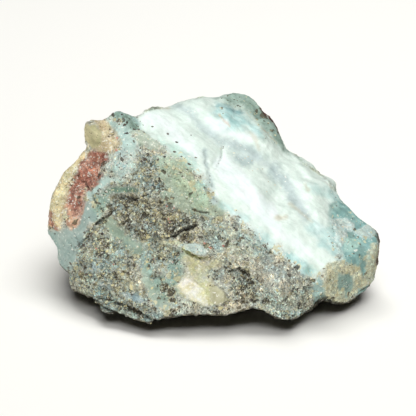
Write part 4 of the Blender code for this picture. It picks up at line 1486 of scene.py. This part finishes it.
GRAINS = (
    Grains("dark_grains", GrainFinish("dark pyroxene", (48, 40, 33), (104, 96, 82), 0.5), DARK_FLECKS,
           "dark", 2200, 0.1, 0.34, 0.5, 11, 1.55),
    Grains("pale_grains", GrainFinish("pale calcite", (226, 226, 206), (190, 194, 174), 0.5), PALE_FLECKS,
           "pale", 900, 0.08, 0.3, 0.5, 12),
    Grains("warm_grains", GrainFinish("yellow crumbs", (222, 214, 166), (190, 182, 138), 0.6), YELLOW_FLECKS,
           "warm", 900, 0.12, 0.42, 0.5, 13),
    Grains("rust_grains", GrainFinish("rust crumbs", (206, 158, 138), (172, 120, 102), 0.6), RED_FLECKS,
           "warm", 40, 0.1, 0.22, 0.5, 14),
)


@dataclass
class StoneBody:
    """The broken stone itself, which stands for the CAD solid.

    face is the size of its even faces, merge how near corners are made one, and foot how high the ground
    stays smooth above the floor. hollow and crest are how far the ground lies below or stands above what is
    round it, where the painted shade in hollows and the painted highlight on crests start to show and where
    they show in full. All are in mm. crisp_above is in degrees.
    """

    view: Viewpoint
    name: str = "larimar_stone"
    node: str = "stone"
    relief_group: str = "crumb relief"
    face: float = 0.39
    merge: float = 0.001
    foot: float = 1.2
    rounding: int = 4
    rounding_strength: float = 0.5
    bulge_rounds: int = 8
    hollow: tuple[float, float] = (0.02, 0.3)
    crest: tuple[float, float] = (0.04, 0.3)
    crisp_above: float = 38.0
    crumbles: tuple[Crumble, ...] = (
        Crumble("broken lumps", "VORONOI_F2_F1", 4.2, 2, 1.6, 0.45),
        Crumble("fine crumbs", "BLENDER_ORIGINAL", 0.8, 3, 2.0, 0.5),
    )

    def copy_node(self) -> Object:
        """Copies the CAD solid's mesh and merges its loose triangles.

        Returns:
            The copy.
        """
        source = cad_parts[self.node]
        stone = bpy.data.objects.new(self.name, source.data.copy())
        stone.data.name = self.name
        bpy.context.scene.collection.objects.link(stone)
        only(stone)
        bpy.ops.object.mode_set(mode="EDIT")
        bpy.ops.mesh.select_all(action="SELECT")
        bpy.ops.mesh.remove_doubles(threshold=self.merge * MM)
        bpy.ops.object.mode_set(mode="OBJECT")
        stone.data.materials.clear()
        return stone

    def even_out(self, stone: Object) -> None:
        """Covers the stone with small even faces and rounds off the facets.

        Args:
            stone: The stone.
        """
        even = stone.modifiers.new("even faces", "REMESH")
        even.mode = "VOXEL"
        even.voxel_size = self.face * MM
        bpy.ops.object.modifier_apply(modifier=even.name)
        soft = stone.modifiers.new("rounded facets", "SMOOTH")
        soft.factor = self.rounding_strength
        soft.iterations = self.rounding
        bpy.ops.object.modifier_apply(modifier=soft.name)

    def crumble(self, stone: Object, ground: Ground) -> None:
        """Breaks up the surface where the minerals are crumbly, and carves the named crevices and plates.

        Args:
            stone: The stone.
            ground: What its points are made of.
        """
        clear = smooth(0.0, self.foot, ground.places[:, 2])
        weights = np.clip(ground.layers["crumb"] * clear, 0.0, 1.0)
        group = stone.vertex_groups.new(name=self.relief_group)
        for index, weight in enumerate(weights.tolist()):
            group.add((index,), weight, "REPLACE")
        heights = ground.relief() * clear
        move_points(stone.data, (ground.places + ground.normals * heights[:, None]) * MM)
        for crumble in self.crumbles:
            crumble.put_on(stone, self.relief_group)
        stone.vertex_groups.clear()
        height = bulges(stone.data, self.bulge_rounds)
        ground.layers["hollow"] = smooth(*self.hollow, -height)
        ground.layers["crest"] = smooth(*self.crest, height)

    def keep_inside(self, stone: Object) -> None:
        """Keeps every point within the CAD solid's box."""
        low, high = (np.array(corner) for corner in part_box(self.node))
        move_points(stone.data, np.clip(read_rows(stone.data.vertices, "co"), low, high))

    def write_layers(self, stone: Object, ground: Ground) -> None:
        """Stores what each point is made of on the mesh, for the material to read.

        Args:
            stone: The stone.
            ground: What its points are made of.
        """
        for name, layer in ground.layers.items():
            kind, what, values = "FLOAT", "value", layer
            if layer.ndim == 2:
                kind, what, values = "FLOAT_COLOR", "color", np.hstack((layer, np.ones((len(layer), 1))))
            stored = stone.data.attributes.new(name, kind, "POINT")
            stored.data.foreach_set(what, values.astype(np.float32).ravel())

    def make(self) -> list[Object]:
        """Builds, paints and dresses the stone and its grains.

        Returns:
            The stone, and then its pieces of grains.
        """
        stone = self.copy_node()
        self.even_out(stone)
        ground = Ground(stone.data, self.view)
        ground.paint()
        self.crumble(stone, ground)
        self.keep_inside(stone)
        self.write_layers(stone, ground)
        only(stone)
        bpy.ops.object.shade_smooth_by_angle(angle=math.radians(self.crisp_above))
        stone.data.materials.append(StoneFinish().make())
        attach(stone, "root")
        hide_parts(self.node)
        LOG.info("%s: %d points", self.name, len(stone.data.vertices))
        return [stone] + [grains.make(stone, ground, self.view) for grains in GRAINS]


def main() -> None:
    """Builds the camera, the studio and the stone."""
    logging.basicConfig(level=logging.INFO, format="%(name)s: %(message)s")
    noise.seed_set(NOISE_SEED)
    view = Viewpoint()
    view.make()
    stone_parts = StoneBody(view).make()
    Studio().make(stone_parts)


if __name__ == "__main__":
    main()
